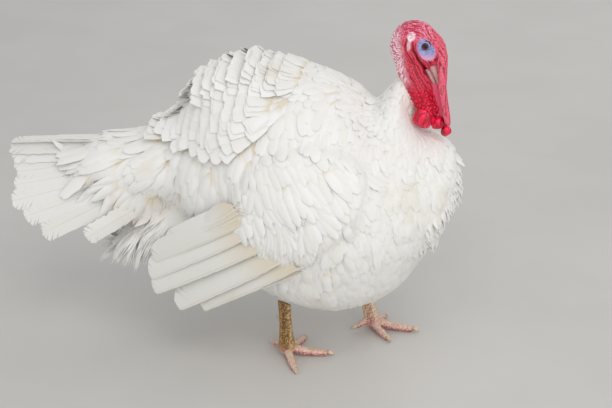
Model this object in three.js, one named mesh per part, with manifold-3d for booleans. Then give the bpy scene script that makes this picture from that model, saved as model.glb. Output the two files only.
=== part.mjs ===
// A domestic turkey, a mature white tom, standing in mid-stride with its head drawn back over its breast.
// Millimetres. +X is where the bird faces, +Y its left, +Z up. The floor is Z = 0, and the origin lies on
// it under the middle of the bird's box. Every solid reaches out to the tips of the feathers it stands for.
import * as THREE from "three";
import { mergeVertices } from "three/addons/utils/BufferGeometryUtils.js";
import Module from "manifold-3d";

const wasm = await Module();
wasm.setup();

// ---------------------------------------------------------------- driving dimensions
const GAP = 0.3; // clearance that touching pieces keep
const FLIGHT_THICK = 4; // stack of flight feathers
const WING_THICK = 14; // folded wing with its coverts, over the flank

// Trunk, tail end to breast: [x, top z, widest z, bottom z, half width]
const TRUNK = [
  [-178, 462, 400, 340, 60],
  [-120, 516, 398, 282, 96],
  [-60, 598, 392, 234, 134],
  [0, 635, 383, 190, 166],
  [60, 636, 374, 150, 188],
  [120, 621, 364, 118, 201],
  [180, 601, 355, 94, 207],
  [240, 580, 350, 94, 203],
  [300, 562, 353, 136, 188],
  [355, 542, 364, 202, 157],
  [400, 519, 373, 257, 125],
  [435, 496, 380, 302, 91],
  [458, 450, 380, 340, 55],
  [470, 396, 380, 366, 22],
];

// The breast is the front and underside of the trunk, ahead of a slanting plane through these two [x, z].
const BREAST_CUT = [
  [60, 120],
  [300, 570],
];

// Feathered neck, breast to collar: [x, z, half width, to the back, to the front]
const NECK = [
  [318, 450, 118, 92, 98],
  [324, 505, 96, 72, 76],
  [332, 548, 68, 48, 32],
  [337, 580, 47, 29, 12],
  [340, 600, 34, 20, 5],
  [342, 616, 24, 13, 4],
];

// The head's own frame: its origin is the middle of the skull, and it is turned a little to the right.
const HEAD_AT = [362, -8, 668];
const HEAD_TURN = THREE.MathUtils.degToRad(-10);
const SKULL_RADII = [50, 35, 53];
const EYE = { at: [27, 23.5, 17.5], radius: 9 };

// Legs: the right foot is planted behind, the left in front.
// Each toe: [degrees left of straight ahead, length].
const LEGS = [
  {
    side: "right",
    sign: -1,
    foot: [119, -73],
    hock: [114, -80, 172],
    thigh: [86, -92, 250],
    toes: { middle: [8, 88], inner: [69, 74], outer: [-66, 71], hind: [143, 42] },
  },
  {
    side: "left",
    sign: 1,
    foot: [279, 71],
    hock: [236, 78, 160],
    thigh: [190, 92, 240],
    toes: { middle: [-1, 92], inner: [-50, 64], outer: [64, 52], hind: [-145, 38] },
  },
];
const CUFF_DROP = 48; // from the hock down to the last feathers of the leg
const ANKLE_HEIGHT = 30;
const SHANK_HALF_WIDTH = 11.5;
const SHANK_HALF_DEPTH = 14;
// Shape of each toe: [name, half width at the root, height of the root, height of the claw's tip]
const TOES = [
  ["middle", 10.5, 13, 1.8],
  ["inner", 9.5, 12, 1.8],
  ["outer", 9.5, 12, 1.8],
  ["hind", 8, 26, 7],
];
const TOE_END_HEIGHT = 0.42; // of the root's height
const CLAW_LENGTH = 13;

// Tail: a folded fan that arches down on both sides.
const TAIL_MIDDLE_TIP = [-477, 406];
const TAIL_OUTER_TIP = [-383, 110, 260]; // x, half width, z
const TAIL_SHORTFALL = [0, 8, 15, 17, 7, -12, -6, 0]; // of each pair of feathers, the middle pair first
const TAIL_OUTER_PAIR = { root: [-170, 58, 330], tip: [-290, 112, 258], width: 40 };

// Flight feathers of one wing, top one first:
// [root x, root half width, root z, tip x, tip half width, tip z, width]
const WING_BLADES = [
  [64, 186, 378, -106, 138, 262, 42],
  [74, 188, 366, -136, 138, 232, 44],
  [94, 190, 346, -145, 139, 194, 48],
  [120, 192, 320, -138, 142, 162, 52],
  [150, 194, 292, -89, 147, 131, 50],
  [176, 194, 276, -38, 151, 136, 44],
  [172, 180, 258, 50, 165, 188, 30],
];

// ---------------------------------------------------------------- materials
function finish(color, roughness) {
  return new THREE.MeshStandardMaterial({ color, roughness, metalness: 0 });
}

const FEATHER = finish(0xf3f1ea, 0.85);
const QUILL = finish(0xefece2, 0.7);
const RED_SKIN = finish(0xc8283f, 0.5);
const PINK_SKIN = finish(0xd9566a, 0.5);
const HORN = finish(0xa78f85, 0.45);
const EYE_DARK = finish(0x1c100c, 0.08);
const SHANK_SKIN = finish(0x9a8266, 0.7);
const TOE_SKIN = finish(0xd39a92, 0.65);
const CLAW_HORN = finish(0xe3d5bd, 0.5);

// ---------------------------------------------------------------- shaping
/** Closes a geometry into a manifold-3d solid, turned so that its faces point out. */
function solid(geometry) {
  const bare = geometry.index ? geometry.toNonIndexed() : geometry.clone();
  bare.deleteAttribute("normal");
  bare.deleteAttribute("uv");
  const merged = mergeVertices(bare, 1e-4);
  const corners = [];
  const index = merged.index.array;
  for (let i = 0; i < index.length; i += 3) {
    const [a, b, c] = [index[i], index[i + 1], index[i + 2]];
    if (a !== b && b !== c && c !== a) corners.push(a, b, c);
  }
  const vertProperties = merged.attributes.position.array;
  const close = (faces) => {
    const triVerts = new Uint32Array(faces);
    return new wasm.Manifold(new wasm.Mesh({ numProp: 3, vertProperties, triVerts }));
  };
  const made = close(corners);
  return made.volume() < 0 ? close(corners.reverse()) : made;
}

/** The largest body that a cut leaves, so that no crumb stays behind. */
function mainBody(cut) {
  return cut.decompose().reduce((best, body) => (body.volume() > best.volume() ? body : best));
}

const union = (solids) => solids.reduce((all, one) => all.add(one));
const without = (piece, ...others) => mainBody(others.reduce((rest, other) => rest.subtract(other), piece));

/**
 * A closed body of oval sections strung along a smooth spine; every section's width runs along `side`.
 * stations: [{ at: [x, y, z], wide, up, down }], where up and down are the radii square to the side.
 * grow swells the body, for cutting its neighbours with a gap.
 */
function loft(stations, { around = 24, along = 12, side = [0, 1, 0], ends = [0.12, 0.12], grow = 0 } = {}) {
  const places = stations.map(({ at }) => new THREE.Vector3(...at));
  const sizes = stations.map(({ wide, up, down }) => new THREE.Vector3(wide, up, down));
  const spine = new THREE.CatmullRomCurve3(places, false, "centripetal");
  const radii = new THREE.CatmullRomCurve3(sizes, false, "catmullrom", 0.5);
  const across = new THREE.Vector3(...side).normalize();
  const ball = new THREE.SphereGeometry(1, around, along);
  const position = ball.attributes.position;
  const columns = around + 1;
  for (let i = 0; i < position.count; i++) {
    const t = Math.floor(i / columns) / along;
    const angle = ((i % columns) % around) / around * Math.PI * 2;
    const nearStart = Math.min(1, t / ends[0]);
    const nearEnd = Math.min(1, (1 - t) / ends[1]);
    const closing = Math.sqrt(1 - (1 - nearStart) ** 2) * Math.sqrt(1 - (1 - nearEnd) ** 2);
    const tangent = spine.getTangent(t);
    const up = new THREE.Vector3().crossVectors(tangent, across).normalize();
    const r = radii.getPoint(t);
    const tall = Math.sin(angle) > 0 ? r.y : r.z;
    const swell = t === 0 || t === 1 ? 0 : grow;
    const point = spine
      .getPoint(t)
      .addScaledVector(across, Math.cos(angle) * (Math.max(r.x, 0.5) * closing + swell))
      .addScaledVector(up, Math.sin(angle) * (Math.max(tall, 0.5) * closing + swell))
      .addScaledVector(tangent, (t < 0.5 ? -grow : grow) * (1 - closing));
    position.setXYZ(i, point.x, point.y, point.z);
  }
  return solid(ball);
}

/** A round limb or strand through points, with one radius at each of them. */
function strand(points, radius, options = {}) {
  const stations = points.map((at, i) => ({ at, wide: radius[i], up: radius[i], down: radius[i] }));
  return loft(stations, { around: 12, along: 10, ...options });
}

/** An ellipsoid. */
function ovoid(at, radii, { grow = 0, around = 20, along = 12 } = {}) {
  const ball = new THREE.SphereGeometry(1, around, along);
  ball.scale(radii[0] + grow, radii[1] + grow, radii[2] + grow).translate(...at);
  return solid(ball);
}

/**
 * One flight feather as a flat blade from root to tip, square to `facing`.
 * Its end is cut aslant. The tip is its furthest corner, which lies to one side by `corner`, from -1 to 1.
 */
function blade(root, tip, facing, width, { corner = 0, thick = FLIGHT_THICK, grow = 0 } = {}) {
  const from = new THREE.Vector3(...root);
  const lengthwise = new THREE.Vector3(...tip).sub(from);
  const length = lengthwise.length() + grow;
  lengthwise.normalize();
  const across = new THREE.Vector3().crossVectors(lengthwise, new THREE.Vector3(...facing)).normalize();
  const normal = new THREE.Vector3().crossVectors(across, lengthwise);
  const half = width / 2;
  const edge = half + grow;
  const peak = corner * half * 0.8;
  const shoulder = (side) => length - half * (0.55 + 0.75 * Math.max(0, -side * corner));
  const outline = new THREE.Shape();
  outline.moveTo(-edge * 0.4, -grow);
  outline.lineTo(-edge, length * 0.3);
  outline.lineTo(-edge, shoulder(-1));
  outline.quadraticCurveTo(Math.min(peak, -edge * 0.8), length - half * 0.1, peak, length);
  outline.quadraticCurveTo(Math.max(peak, edge * 0.8), length - half * 0.1, edge, shoulder(1));
  outline.lineTo(edge, length * 0.3);
  outline.lineTo(edge * 0.4, -grow);
  outline.closePath();
  const depth = thick + 2 * grow;
  const flat = new THREE.ExtrudeGeometry(outline, { depth, bevelEnabled: false, curveSegments: 2 });
  flat.translate(-peak, 0, -depth / 2);
  flat.applyMatrix4(new THREE.Matrix4().makeBasis(across, lengthwise, normal).setPosition(from));
  return solid(flat);
}

/** A box between two corners, for plane cuts. */
function block(low, high) {
  const size = high.map((v, i) => v - low[i]);
  return solid(new THREE.BoxGeometry(...size).translate(...low.map((v, i) => v + size[i] / 2)));
}

/** Everything ahead of the plane that parts the breast from the back, moved back by `grow`. */
function aheadOfBreastCut(grow = 0) {
  const [[x0, z0], [x1, z1]] = BREAST_CUT;
  const far = 1000;
  const ahead = new THREE.BoxGeometry(far, far, far).translate(far / 2 - grow, 0, 0);
  ahead.rotateY(Math.atan2(x1 - x0, z1 - z0)).translate((x0 + x1) / 2, 0, (z0 + z1) / 2);
  return solid(ahead);
}

const FLOOR = block([-900, -900, -300], [900, 900, 0]);
const mirrored = (points, sign) => points.map(([x, y, z]) => [x, y * sign, z]);

// ---------------------------------------------------------------- trunk, neck and tail
function trunkSolid(grow = 0) {
  const stations = TRUNK.map(([x, top, middle, bottom, wide]) => ({
    at: [x, 0, middle],
    wide,
    up: top - middle,
    down: middle - bottom,
  }));
  return loft(stations, { around: 28, along: 19, ends: [0.07, 0.045], grow });
}

function neckSolid(grow = 0) {
  const stations = NECK.map(([x, z, wide, back, front]) => ({ at: [x, 0, z], wide, up: back, down: front }));
  return loft(stations, { around: 20, along: 7, ends: [0.1, 0.1], grow });
}

/** The long upper tail coverts that bury the roots of the tail. */
function tailCovertsSolid(grow = 0) {
  return loft(
    [
      { at: [-338, 0, 396], wide: 56, up: 46, down: 34 },
      { at: [-300, 0, 384], wide: 80, up: 64, down: 62 },
      { at: [-255, 0, 382], wide: 92, up: 71, down: 88 },
      { at: [-205, 0, 386], wide: 96, up: 76, down: 104 },
      { at: [-150, 0, 396], wide: 98, up: 80, down: 112 },
      { at: [-96, 0, 408], wide: 104, up: 88, down: 96 },
    ],
    { around: 20, along: 9, ends: [0.16, 0.08], grow },
  );
}

/** The loose down under the tail. */
function ventSolid(grow = 0) {
  return loft(
    [
      { at: [-258, 0, 196], wide: 26, up: 14, down: 14 },
      { at: [-230, 0, 212], wide: 54, up: 32, down: 34 },
      { at: [-176, 0, 242], wide: 82, up: 54, down: 58 },
      { at: [-100, 0, 278], wide: 100, up: 60, down: 74 },
      { at: [-20, 0, 300], wide: 118, up: 70, down: 96 },
    ],
    { around: 16, along: 7, ends: [0.2, 0.1], grow },
  );
}

/** Root, tip and outward normal of one tail feather; u runs from -1, the outermost right one, to 1. */
function tailFeather(u) {
  const share = Math.abs(u);
  const [middleX, middleZ] = TAIL_MIDDLE_TIP;
  const [outerX, outerY, outerZ] = TAIL_OUTER_TIP;
  const tip = (v) => {
    const s = Math.abs(v);
    return new THREE.Vector3(
      middleX + (outerX - middleX) * s ** 3.2,
      v * outerY,
      middleZ + (outerZ - middleZ) * s ** 1.6,
    );
  };
  const root = new THREE.Vector3(-176 + 26 * share, 34 * u, 428 - 56 * share ** 1.3);
  const end = tip(u);
  const beside = tip(Math.min(1, u + 0.06)).sub(tip(Math.max(-1, u - 0.06)));
  const facing = new THREE.Vector3().crossVectors(beside, end.clone().sub(root)).normalize();
  return { root: root.toArray(), tip: end.toArray(), facing: facing.toArray() };
}

/** The fan's feathers on one side, from the middle one out. */
function tailSolid(sign, grow = 0) {
  const blades = TAIL_SHORTFALL.map((shortfall, pair) => {
    const share = (pair + 0.5) / (TAIL_SHORTFALL.length - 0.5);
    const { root, tip, facing } = tailFeather(sign * share);
    const lift = (1 - share) * 9 + (pair % 2); // the middle pair lies on top
    const raise = (point) => point.map((v, k) => v + facing[k] * lift);
    const end = new THREE.Vector3(...raise(tip));
    const inward = new THREE.Vector3(...raise(root)).sub(end).normalize();
    end.addScaledVector(inward, shortfall);
    return blade(raise(root), end.toArray(), facing, 56 - 10 * share, { grow });
  });
  return union(blades);
}

/** The outermost tail feather of one side, which hangs apart below the fan. */
function tailOuterSolid(sign) {
  const { root, tip, width } = TAIL_OUTER_PAIR;
  const [from, to] = mirrored([root, tip], sign);
  return blade(from, to, [-0.2, sign, -0.1], width);
}

// ---------------------------------------------------------------- wings
/** Outline of the folded wing on the flank, as seen from its side: shoulder, back edge, tertials, wrist. */
const WING_CORNERS = 24;
const WING_HALF_HEIGHT = 90; // least distance from its middle to its edge
const WING_OUTLINE = [
  [292, 474],
  [232, 508],
  [150, 512],
  [84, 482],
  [36, 420],
  [22, 360],
  [44, 306],
  [112, 282],
  [184, 292],
  [240, 332],
  [286, 392],
];

/** The folded wing, a slab that lies on the flank. */
function wingSolid(sign, grow = 0) {
  const edge = new THREE.CatmullRomCurve3(WING_OUTLINE.map(([x, z]) => new THREE.Vector3(x, z, 0)), true);
  const points = edge.getSpacedPoints(WING_CORNERS).slice(0, WING_CORNERS);
  const middle = new THREE.Box2().setFromPoints(points).getCenter(new THREE.Vector2());
  const swell = 1 + grow / WING_HALF_HEIGHT;
  const spread = (p) => new THREE.Vector2(p.x, p.y).sub(middle).multiplyScalar(swell).add(middle);
  const outline = new THREE.Shape(points.map(spread));
  const prism = new THREE.ExtrudeGeometry(outline, { depth: 200, bevelEnabled: false });
  prism.rotateX(Math.PI / 2); // the outline now stands in XZ and the prism runs towards -Y
  prism.translate(0, sign > 0 ? 260 : -60, 0);
  return mainBody(solid(prism).intersect(trunkSolid(WING_THICK + grow)).subtract(trunkSolid(GAP - grow)));
}

/** The long feathers that come out from under the wing's coverts, the upper ones outermost. */
function wingFeathersSolid(sign) {
  const blades = WING_BLADES.map(([rx, ry, rz, tx, ty, tz, width], i) => {
    const out = 1.2 * (WING_BLADES.length - i);
    const [root, tip] = mirrored([[rx, ry + out, rz], [tx, ty + out, tz]], sign);
    return blade(root, tip, [0.24, sign, 0.1], width, { corner: sign });
  });
  return union(blades);
}

// ---------------------------------------------------------------- head
/** Moves a solid from the head's own frame to the bird's. */
function onHead(piece) {
  const turn = new THREE.Matrix4().makeRotationZ(HEAD_TURN).setPosition(...HEAD_AT);
  return piece.transform(turn.elements);
}

/** Skull with its bumpy cap, and the face down to the root of the bill. */
function headSolid(grow = 0) {
  const skull = ovoid([-1, 0, 4], SKULL_RADII, { grow, around: 16, along: 10 });
  const face = loft(
    [
      { at: [12, 0, 18], wide: 30, up: 30, down: 30 },
      { at: [26, 0, -6], wide: 25, up: 24, down: 25 },
      { at: [33, 0, -21], wide: 18, up: 15, down: 18 },
      { at: [36, 0, -31], wide: 13, up: 9, down: 13 },
    ],
    { around: 14, along: 6, grow },
  );
  return onHead(skull.add(face));
}

/** The folded naked throat, from the cheeks down to the caruncles. */
function throatSolid(grow = 0) {
  return onHead(
    loft(
      [
        { at: [-12, 0, 0], wide: 33, up: 36, down: 34 },
        { at: [-6, 0, -36], wide: 34, up: 35, down: 32 },
        { at: [6, 0, -66], wide: 32, up: 29, down: 27 },
        { at: [19, 0, -94], wide: 28, up: 23, down: 24 },
        { at: [32, 0, -118], wide: 23, up: 18, down: 21 },
        { at: [42, 0, -140], wide: 17, up: 14, down: 16 },
      ],
      { around: 14, along: 9, grow },
    ),
  );
}

/** The fold of skin that hangs from the chin. */
function dewlapSolid(grow = 0) {
  return onHead(
    loft(
      [
        { at: [30, 3, -52], wide: 8, up: 12, down: 9 },
        { at: [42, 3, -82], wide: 7.5, up: 14, down: 10 },
        { at: [53, 3, -112], wide: 7.5, up: 14, down: 9 },
        { at: [63, 2, -138], wide: 8, up: 10, down: 8 },
        { at: [68, 1, -150], wide: 7, up: 7, down: 7 },
      ],
      { around: 10, along: 7, grow },
    ),
  );
}

function snoodSolid(grow = 0) {
  const line = [
    [17, 0, 36],
    [36, 0, 22],
    [50, -2, 2],
    [58, -9, -28],
    [60, -15, -64],
    [66, -13, -104],
    [72, -11, -134],
    [74, -10, -150],
  ];
  return onHead(strand(line, [13, 14.5, 12.5, 9, 7.5, 7, 6, 5], { around: 10, along: 12, grow }));
}

const CARUNCLES = [
  ["caruncle_right", [26, -21, -131], [19, 16, 20]],
  ["caruncle_left", [26, 21, -131], [19, 16, 20]],
  ["caruncle_middle", [52, -8, -142], [11.5, 12, 13]],
  ["caruncle_tip", [68, -4, -158], [9.5, 9.5, 10]],
];

function billUpperSolid(grow = 0) {
  return onHead(
    loft(
      [
        { at: [22, 0, -8], wide: 14, up: 13, down: 7 },
        { at: [34, 0, -29], wide: 12, up: 11.5, down: 6 },
        { at: [44, 0, -49], wide: 8.5, up: 8.5, down: 4.5 },
        { at: [50, 0, -67], wide: 5, up: 5, down: 3.5 },
        { at: [51, 0, -78], wide: 2, up: 2, down: 2 },
      ],
      { around: 10, along: 8, grow },
    ),
  );
}

function billLowerSolid(grow = 0) {
  return onHead(
    loft(
      [
        { at: [18, 0, -24], wide: 11, up: 6, down: 7 },
        { at: [28, 0, -42], wide: 9, up: 5.5, down: 6 },
        { at: [37, 0, -58], wide: 6.5, up: 4.5, down: 4.5 },
        { at: [43, 0, -70], wide: 3, up: 2.5, down: 2.5 },
      ],
      { around: 10, along: 5, grow },
    ),
  );
}

function eyeSolid(sign, grow = 0) {
  const [x, y, z] = EYE.at;
  const radii = new Array(3).fill(EYE.radius);
  return onHead(ovoid([x, sign * y, z], radii, { grow, around: 8, along: 6 }));
}

// ---------------------------------------------------------------- legs
/** Feathered lower thigh, which comes out of the belly round the hock. */
function thighSolid(leg, grow = 0) {
  const [hx, hy, hz] = leg.hock;
  const knee = leg.thigh.map((v, i) => (v + leg.hock[i]) / 2);
  const cuff = [hx + (leg.foot[0] - hx) * 0.2, hy + (leg.foot[1] - hy) * 0.2, hz - CUFF_DROP];
  return loft(
    [
      { at: leg.thigh, wide: 46, up: 56, down: 56 },
      { at: knee, wide: 38, up: 44, down: 44 },
      { at: leg.hock, wide: 26, up: 29, down: 29 },
      { at: cuff, wide: 17, up: 20, down: 20 },
    ],
    { around: 12, along: 6, grow },
  );
}

/** Scaled shank from the hock down, with the pad that the toes spring from. */
function shankSolid(leg, grow = 0) {
  const [fx, fy] = leg.foot;
  const [hx, hy, hz] = leg.hock;
  const on = (share) => [hx + (fx - hx) * share, hy + (fy - hy) * share, hz + (ANKLE_HEIGHT - hz) * share];
  const station = (share, wide, deep) => ({ at: on(share), wide, up: deep, down: deep });
  return loft(
    [
      station(0, 14, 17),
      station(0.25, SHANK_HALF_WIDTH, SHANK_HALF_DEPTH),
      station(0.6, SHANK_HALF_WIDTH, SHANK_HALF_DEPTH - 1),
      station(0.85, SHANK_HALF_WIDTH + 2, SHANK_HALF_DEPTH + 1),
      { at: [fx + 1, fy, 20], wide: 17, up: 18, down: 18 },
      { at: [fx + 3, fy, 2], wide: 14, up: 15, down: 15 },
    ],
    { around: 10, along: 9, grow, ends: [0.05, 0.08] },
  );
}

/** The points along a toe, by distance and height, and the sideways direction there. */
function alongToe(leg, name) {
  const angle = THREE.MathUtils.degToRad(leg.toes[name][0]);
  const [dx, dy] = [Math.cos(angle), Math.sin(angle)];
  const on = (distance, z) => [leg.foot[0] + dx * distance, leg.foot[1] + dy * distance, z];
  return { on, side: [-dy, dx, 0] };
}

/** A toe with the swellings of its pads, from inside the foot to the root of its claw. */
function toeSolid(leg, [name, half, height], grow = 0) {
  const { on, side } = alongToe(leg, name);
  const length = leg.toes[name][1];
  const stations = [
    [0.05, 1.2, 1],
    [0.3, 1, 1.02],
    [0.45, 0.72, 0.86],
    [0.62, 0.64, 0.94],
    [0.78, 0.5, 0.76],
    [0.93, 0.48, 0.78],
    [1, TOE_END_HEIGHT, 0.6],
  ].map(([share, z, fat]) => ({
    at: on(length * share, height * z),
    wide: half * fat,
    up: half * fat * 0.95,
    down: half * fat * 0.95,
  }));
  return loft(stations, { around: 8, along: 8, side, ends: [0.06, 0.1], grow });
}

function clawSolid(leg, [name, half, height, tipHeight], grow = 0) {
  const { on, side } = alongToe(leg, name);
  const length = leg.toes[name][1];
  const top = height * TOE_END_HEIGHT + 2;
  const line = [
    on(length - 9, top),
    on(length, top + 0.5),
    on(length + CLAW_LENGTH * 0.45, top - 0.5),
    on(length + CLAW_LENGTH * 0.8, (top + tipHeight) / 2),
    on(length + CLAW_LENGTH, tipHeight),
  ];
  const root = half * 0.52;
  return strand(line, [root, root, root * 0.82, root * 0.5, 1], { along: 4, around: 6, side, grow });
}

/** The low blunt button of a spur on the inner back of the shank. */
function spurSolid(leg, grow = 0) {
  const x = leg.hock[0] + (leg.foot[0] - leg.hock[0]) * 0.6;
  const y = leg.hock[1] + (leg.foot[1] - leg.hock[1]) * 0.6;
  const inward = -leg.sign;
  const line = [
    [x - 8, y + inward * 5, 86],
    [x - 15, y + inward * 8, 85],
    [x - 22, y + inward * 10, 87],
  ];
  return strand(line, [5, 4.5, 2.5], { around: 6, along: 4, grow });
}

// ---------------------------------------------------------------- assembly
const bird = new THREE.Group();
bird.name = "domestic_turkey";

/** Adds a solid to the bird as a named mesh. */
function place(name, piece, material) {
  const { vertProperties, triVerts, numProp } = piece.getMesh();
  const geometry = new THREE.BufferGeometry();
  const points = new Float32Array((vertProperties.length / numProp) * 3);
  for (let i = 0; i < points.length / 3; i++)
    for (let k = 0; k < 3; k++) points[i * 3 + k] = vertProperties[i * numProp + k];
  geometry.setAttribute("position", new THREE.BufferAttribute(points, 3));
  geometry.setIndex(new THREE.BufferAttribute(new Uint32Array(triVerts), 1));
  geometry.computeVertexNormals();
  const mesh = new THREE.Mesh(geometry, material);
  mesh.name = name;
  bird.add(mesh);
}

// Flesh and plumage, each cut by the pieces that lie over it.
const headCut = headSolid(GAP).add(throatSolid(GAP));
const trunk = trunkSolid().subtract(headCut);
place("breast", mainBody(trunk.intersect(aheadOfBreastCut())), FEATHER);
place("back", without(trunk, aheadOfBreastCut(GAP)), FEATHER);
place("neck", without(neckSolid(), trunkSolid(GAP), headCut), FEATHER);
place("tail_coverts", without(tailCovertsSolid(), trunkSolid(GAP)), FEATHER);
place("vent", without(ventSolid(), trunkSolid(GAP), tailCovertsSolid(GAP)), FEATHER);
const tailRoots = [tailCovertsSolid(GAP), trunkSolid(GAP), ventSolid(GAP)];

for (const [side, sign] of [["right", -1], ["left", 1]]) {
  const otherHalf = sign > 0 ? [tailSolid(-sign, GAP)] : [];
  place(`tail_${side}`, without(tailSolid(sign), ...tailRoots, ...otherHalf), QUILL);
  place(`tail_outer_${side}`, without(tailOuterSolid(sign), ...tailRoots, tailSolid(sign, GAP)), QUILL);
  place(`wing_${side}`, wingSolid(sign), FEATHER);
  const clear = [wingSolid(sign, GAP), trunkSolid(GAP), ventSolid(GAP), tailCovertsSolid(GAP)];
  place(`wing_feathers_${side}`, without(wingFeathersSolid(sign), ...clear), QUILL);
}

const bills = [billUpperSolid(GAP), billLowerSolid(GAP)];
const eyes = [eyeSolid(-1, GAP), eyeSolid(1, GAP)];
place("snood", snoodSolid(), PINK_SKIN);
place("bill_upper", without(billUpperSolid(), snoodSolid(GAP)), HORN);
place("bill_lower", without(billLowerSolid(), bills[0], snoodSolid(GAP)), HORN);
place("head", without(headSolid(), ...bills, ...eyes, snoodSolid(GAP)), PINK_SKIN);
place("throat", without(throatSolid(), headSolid(GAP), ...bills, ...eyes), RED_SKIN);
place("eye_right", eyeSolid(-1), EYE_DARK);
place("eye_left", eyeSolid(1), EYE_DARK);

const throatCuts = [headSolid(GAP), throatSolid(GAP), snoodSolid(GAP), ...bills];
place("dewlap", without(dewlapSolid(), ...throatCuts), RED_SKIN);
const hung = [dewlapSolid(GAP)];
for (const [name, at, radii] of CARUNCLES) {
  const lump = (grow) => onHead(ovoid(at, radii, { grow, around: 9, along: 6 }));
  place(name, without(lump(0), ...throatCuts, ...hung, trunkSolid(GAP), neckSolid(GAP)), RED_SKIN);
  hung.push(lump(GAP));
}

for (const leg of LEGS) {
  const name = (part) => `${part}_${leg.side}`;
  place(name("thigh"), without(thighSolid(leg), trunkSolid(GAP), FLOOR), FEATHER);
  const shank = without(shankSolid(leg), thighSolid(leg, GAP), trunkSolid(GAP), FLOOR);
  place(name("shank"), shank, SHANK_SKIN);
  place(name("spur"), without(spurSolid(leg), shankSolid(leg, GAP)), CLAW_HORN);
  const claimed = [shankSolid(leg, GAP)];
  for (const toe of TOES) {
    place(name(`toe_${toe[0]}`), without(toeSolid(leg, toe), ...claimed, FLOOR), TOE_SKIN);
    place(name(`claw_${toe[0]}`), without(clawSolid(leg, toe), toeSolid(leg, toe, GAP), FLOOR), CLAW_HORN);
    claimed.push(toeSolid(leg, toe, GAP));
  }
}

export default bird;
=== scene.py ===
"""Domestic turkey, a life-size museum model: a white tom standing with his back feathers raised.

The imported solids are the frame. One skin takes the place of the flesh, plumage lies over it in overlapping
vanes, and the quills, eyes, bill, legs and claws are pieces of their own.
"""

import logging
import math
from dataclasses import dataclass, field, replace
from enum import Enum
from functools import partial
from typing import Callable, Iterable, Sequence

import bpy
import numpy as np
from mathutils import Matrix, Vector, noise
from mathutils.bvhtree import BVHTree


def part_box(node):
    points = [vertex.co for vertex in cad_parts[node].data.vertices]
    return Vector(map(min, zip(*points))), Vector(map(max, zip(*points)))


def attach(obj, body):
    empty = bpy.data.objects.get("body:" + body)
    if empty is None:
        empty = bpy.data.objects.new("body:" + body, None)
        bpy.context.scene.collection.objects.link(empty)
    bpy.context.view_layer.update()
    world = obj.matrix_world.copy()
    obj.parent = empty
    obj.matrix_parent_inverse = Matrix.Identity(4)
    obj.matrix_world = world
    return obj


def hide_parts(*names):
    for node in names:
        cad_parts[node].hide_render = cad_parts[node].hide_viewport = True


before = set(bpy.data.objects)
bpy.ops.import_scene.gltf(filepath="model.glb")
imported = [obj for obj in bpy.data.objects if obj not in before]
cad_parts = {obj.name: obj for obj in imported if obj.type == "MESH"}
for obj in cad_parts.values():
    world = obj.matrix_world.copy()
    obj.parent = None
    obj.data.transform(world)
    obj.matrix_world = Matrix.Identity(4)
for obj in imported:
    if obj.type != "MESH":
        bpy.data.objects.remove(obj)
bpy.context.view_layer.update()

LOG = logging.getLogger("turkey")
Array = np.ndarray
Colour = tuple[float, ...]
Material = bpy.types.Material
Node = bpy.types.Node
Piece = bpy.types.Object
Point = tuple[float, float, float]
Rng = np.random.Generator
Socket = bpy.types.NodeSocket
Tree = bpy.types.NodeTree

MM = 0.001
SEED = 7
PIECE_LIMIT = 190_000
TUFT_PATCH = 0.003
MIX_COLOURS = (6, 7)
MIX_RESULT = 2

HEAD_AT = (362.0, -8.0, 668.0)
HEAD_YAW = math.radians(-10)
EYE_PLACE = (27.0, 23.5, 17.5)
EYE_RADIUS = 9.0
GAZE = (0.16, 1.0, 0.12)
FOLD_WIDTH = 15.0
FOLD_LINE = ((9, 4.6), (-15, 18.0), (-45, 30.0), (-69, 43.0), (-97, 54.0), (-125, 60.0), (-150, 64.0))


class Side(Enum):
    """The bird's two sides and the sign of Y there."""

    RIGHT = -1
    LEFT = 1

    @property
    def word(self) -> str:
        """The side's name in the names of pieces and solids."""
        return self.name.lower()

    @property
    def flip(self) -> Array:
        """What turns a place on the left side into one on this side."""
        return np.array([1, self.value, 1])


class Cut(Enum):
    """How a body feather is cut."""

    ROUND = 0
    SQUARE = 1
    SOFT = 2
    STREAK = 3
    SPIKE = 4
    FINE = 5
    WISP = 6


class Kind(Enum):
    """What a mesh stores for each vertex: its type and the name of its values."""

    NUMBER = ("FLOAT", "value")
    VECTOR = ("FLOAT_VECTOR", "vector")
    COLOUR = ("FLOAT_COLOR", "color")


# ---- small tools


def colour(red: float, green: float, blue: float) -> Colour:
    """A display colour, 0 to 255, as the linear colour that a shader takes."""
    linear = [((c / 255 + 0.055) / 1.055) ** 2.4 if c > 10 else c / 3294.6 for c in (red, green, blue)]
    return (*linear, 1.0)


def unit(vectors: Array) -> Array:
    """The vectors with length 1."""
    length = np.linalg.norm(vectors, axis=-1, keepdims=True)
    return vectors / np.maximum(length, 1e-12)


def smoothstep(low: float, high: float, value: Array) -> Array:
    """0 below low, 1 above high and an S curve between."""
    t = np.clip((value - low) / (high - low), 0, 1)
    return t * t * (3 - 2 * t)


def among(cuts: Array, *wanted: Cut) -> Array:
    """Which of these cuts' numbers are one of the wanted cuts."""
    return np.isin(cuts, [cut.value for cut in wanted])


def only(*pieces: Piece) -> None:
    """Selects these objects and nothing else, the first of them active.

    Args:
        pieces: the objects.
    """
    bpy.ops.object.select_all(action="DESELECT")
    for piece in pieces:
        piece.select_set(True)
    bpy.context.view_layer.objects.active = pieces[0]


def applied(piece: Piece, kind: str, **settings: object) -> None:
    """Adds a modifier with these settings and applies it.

    Args:
        piece: the object to change.
        kind: the modifier's type.
        settings: its properties.
    """
    only(piece)
    modifier = piece.modifiers.new(kind.title(), kind)
    for name, value in settings.items():
        setattr(modifier, name, value)
    bpy.ops.object.modifier_apply(modifier=modifier.name)


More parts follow.
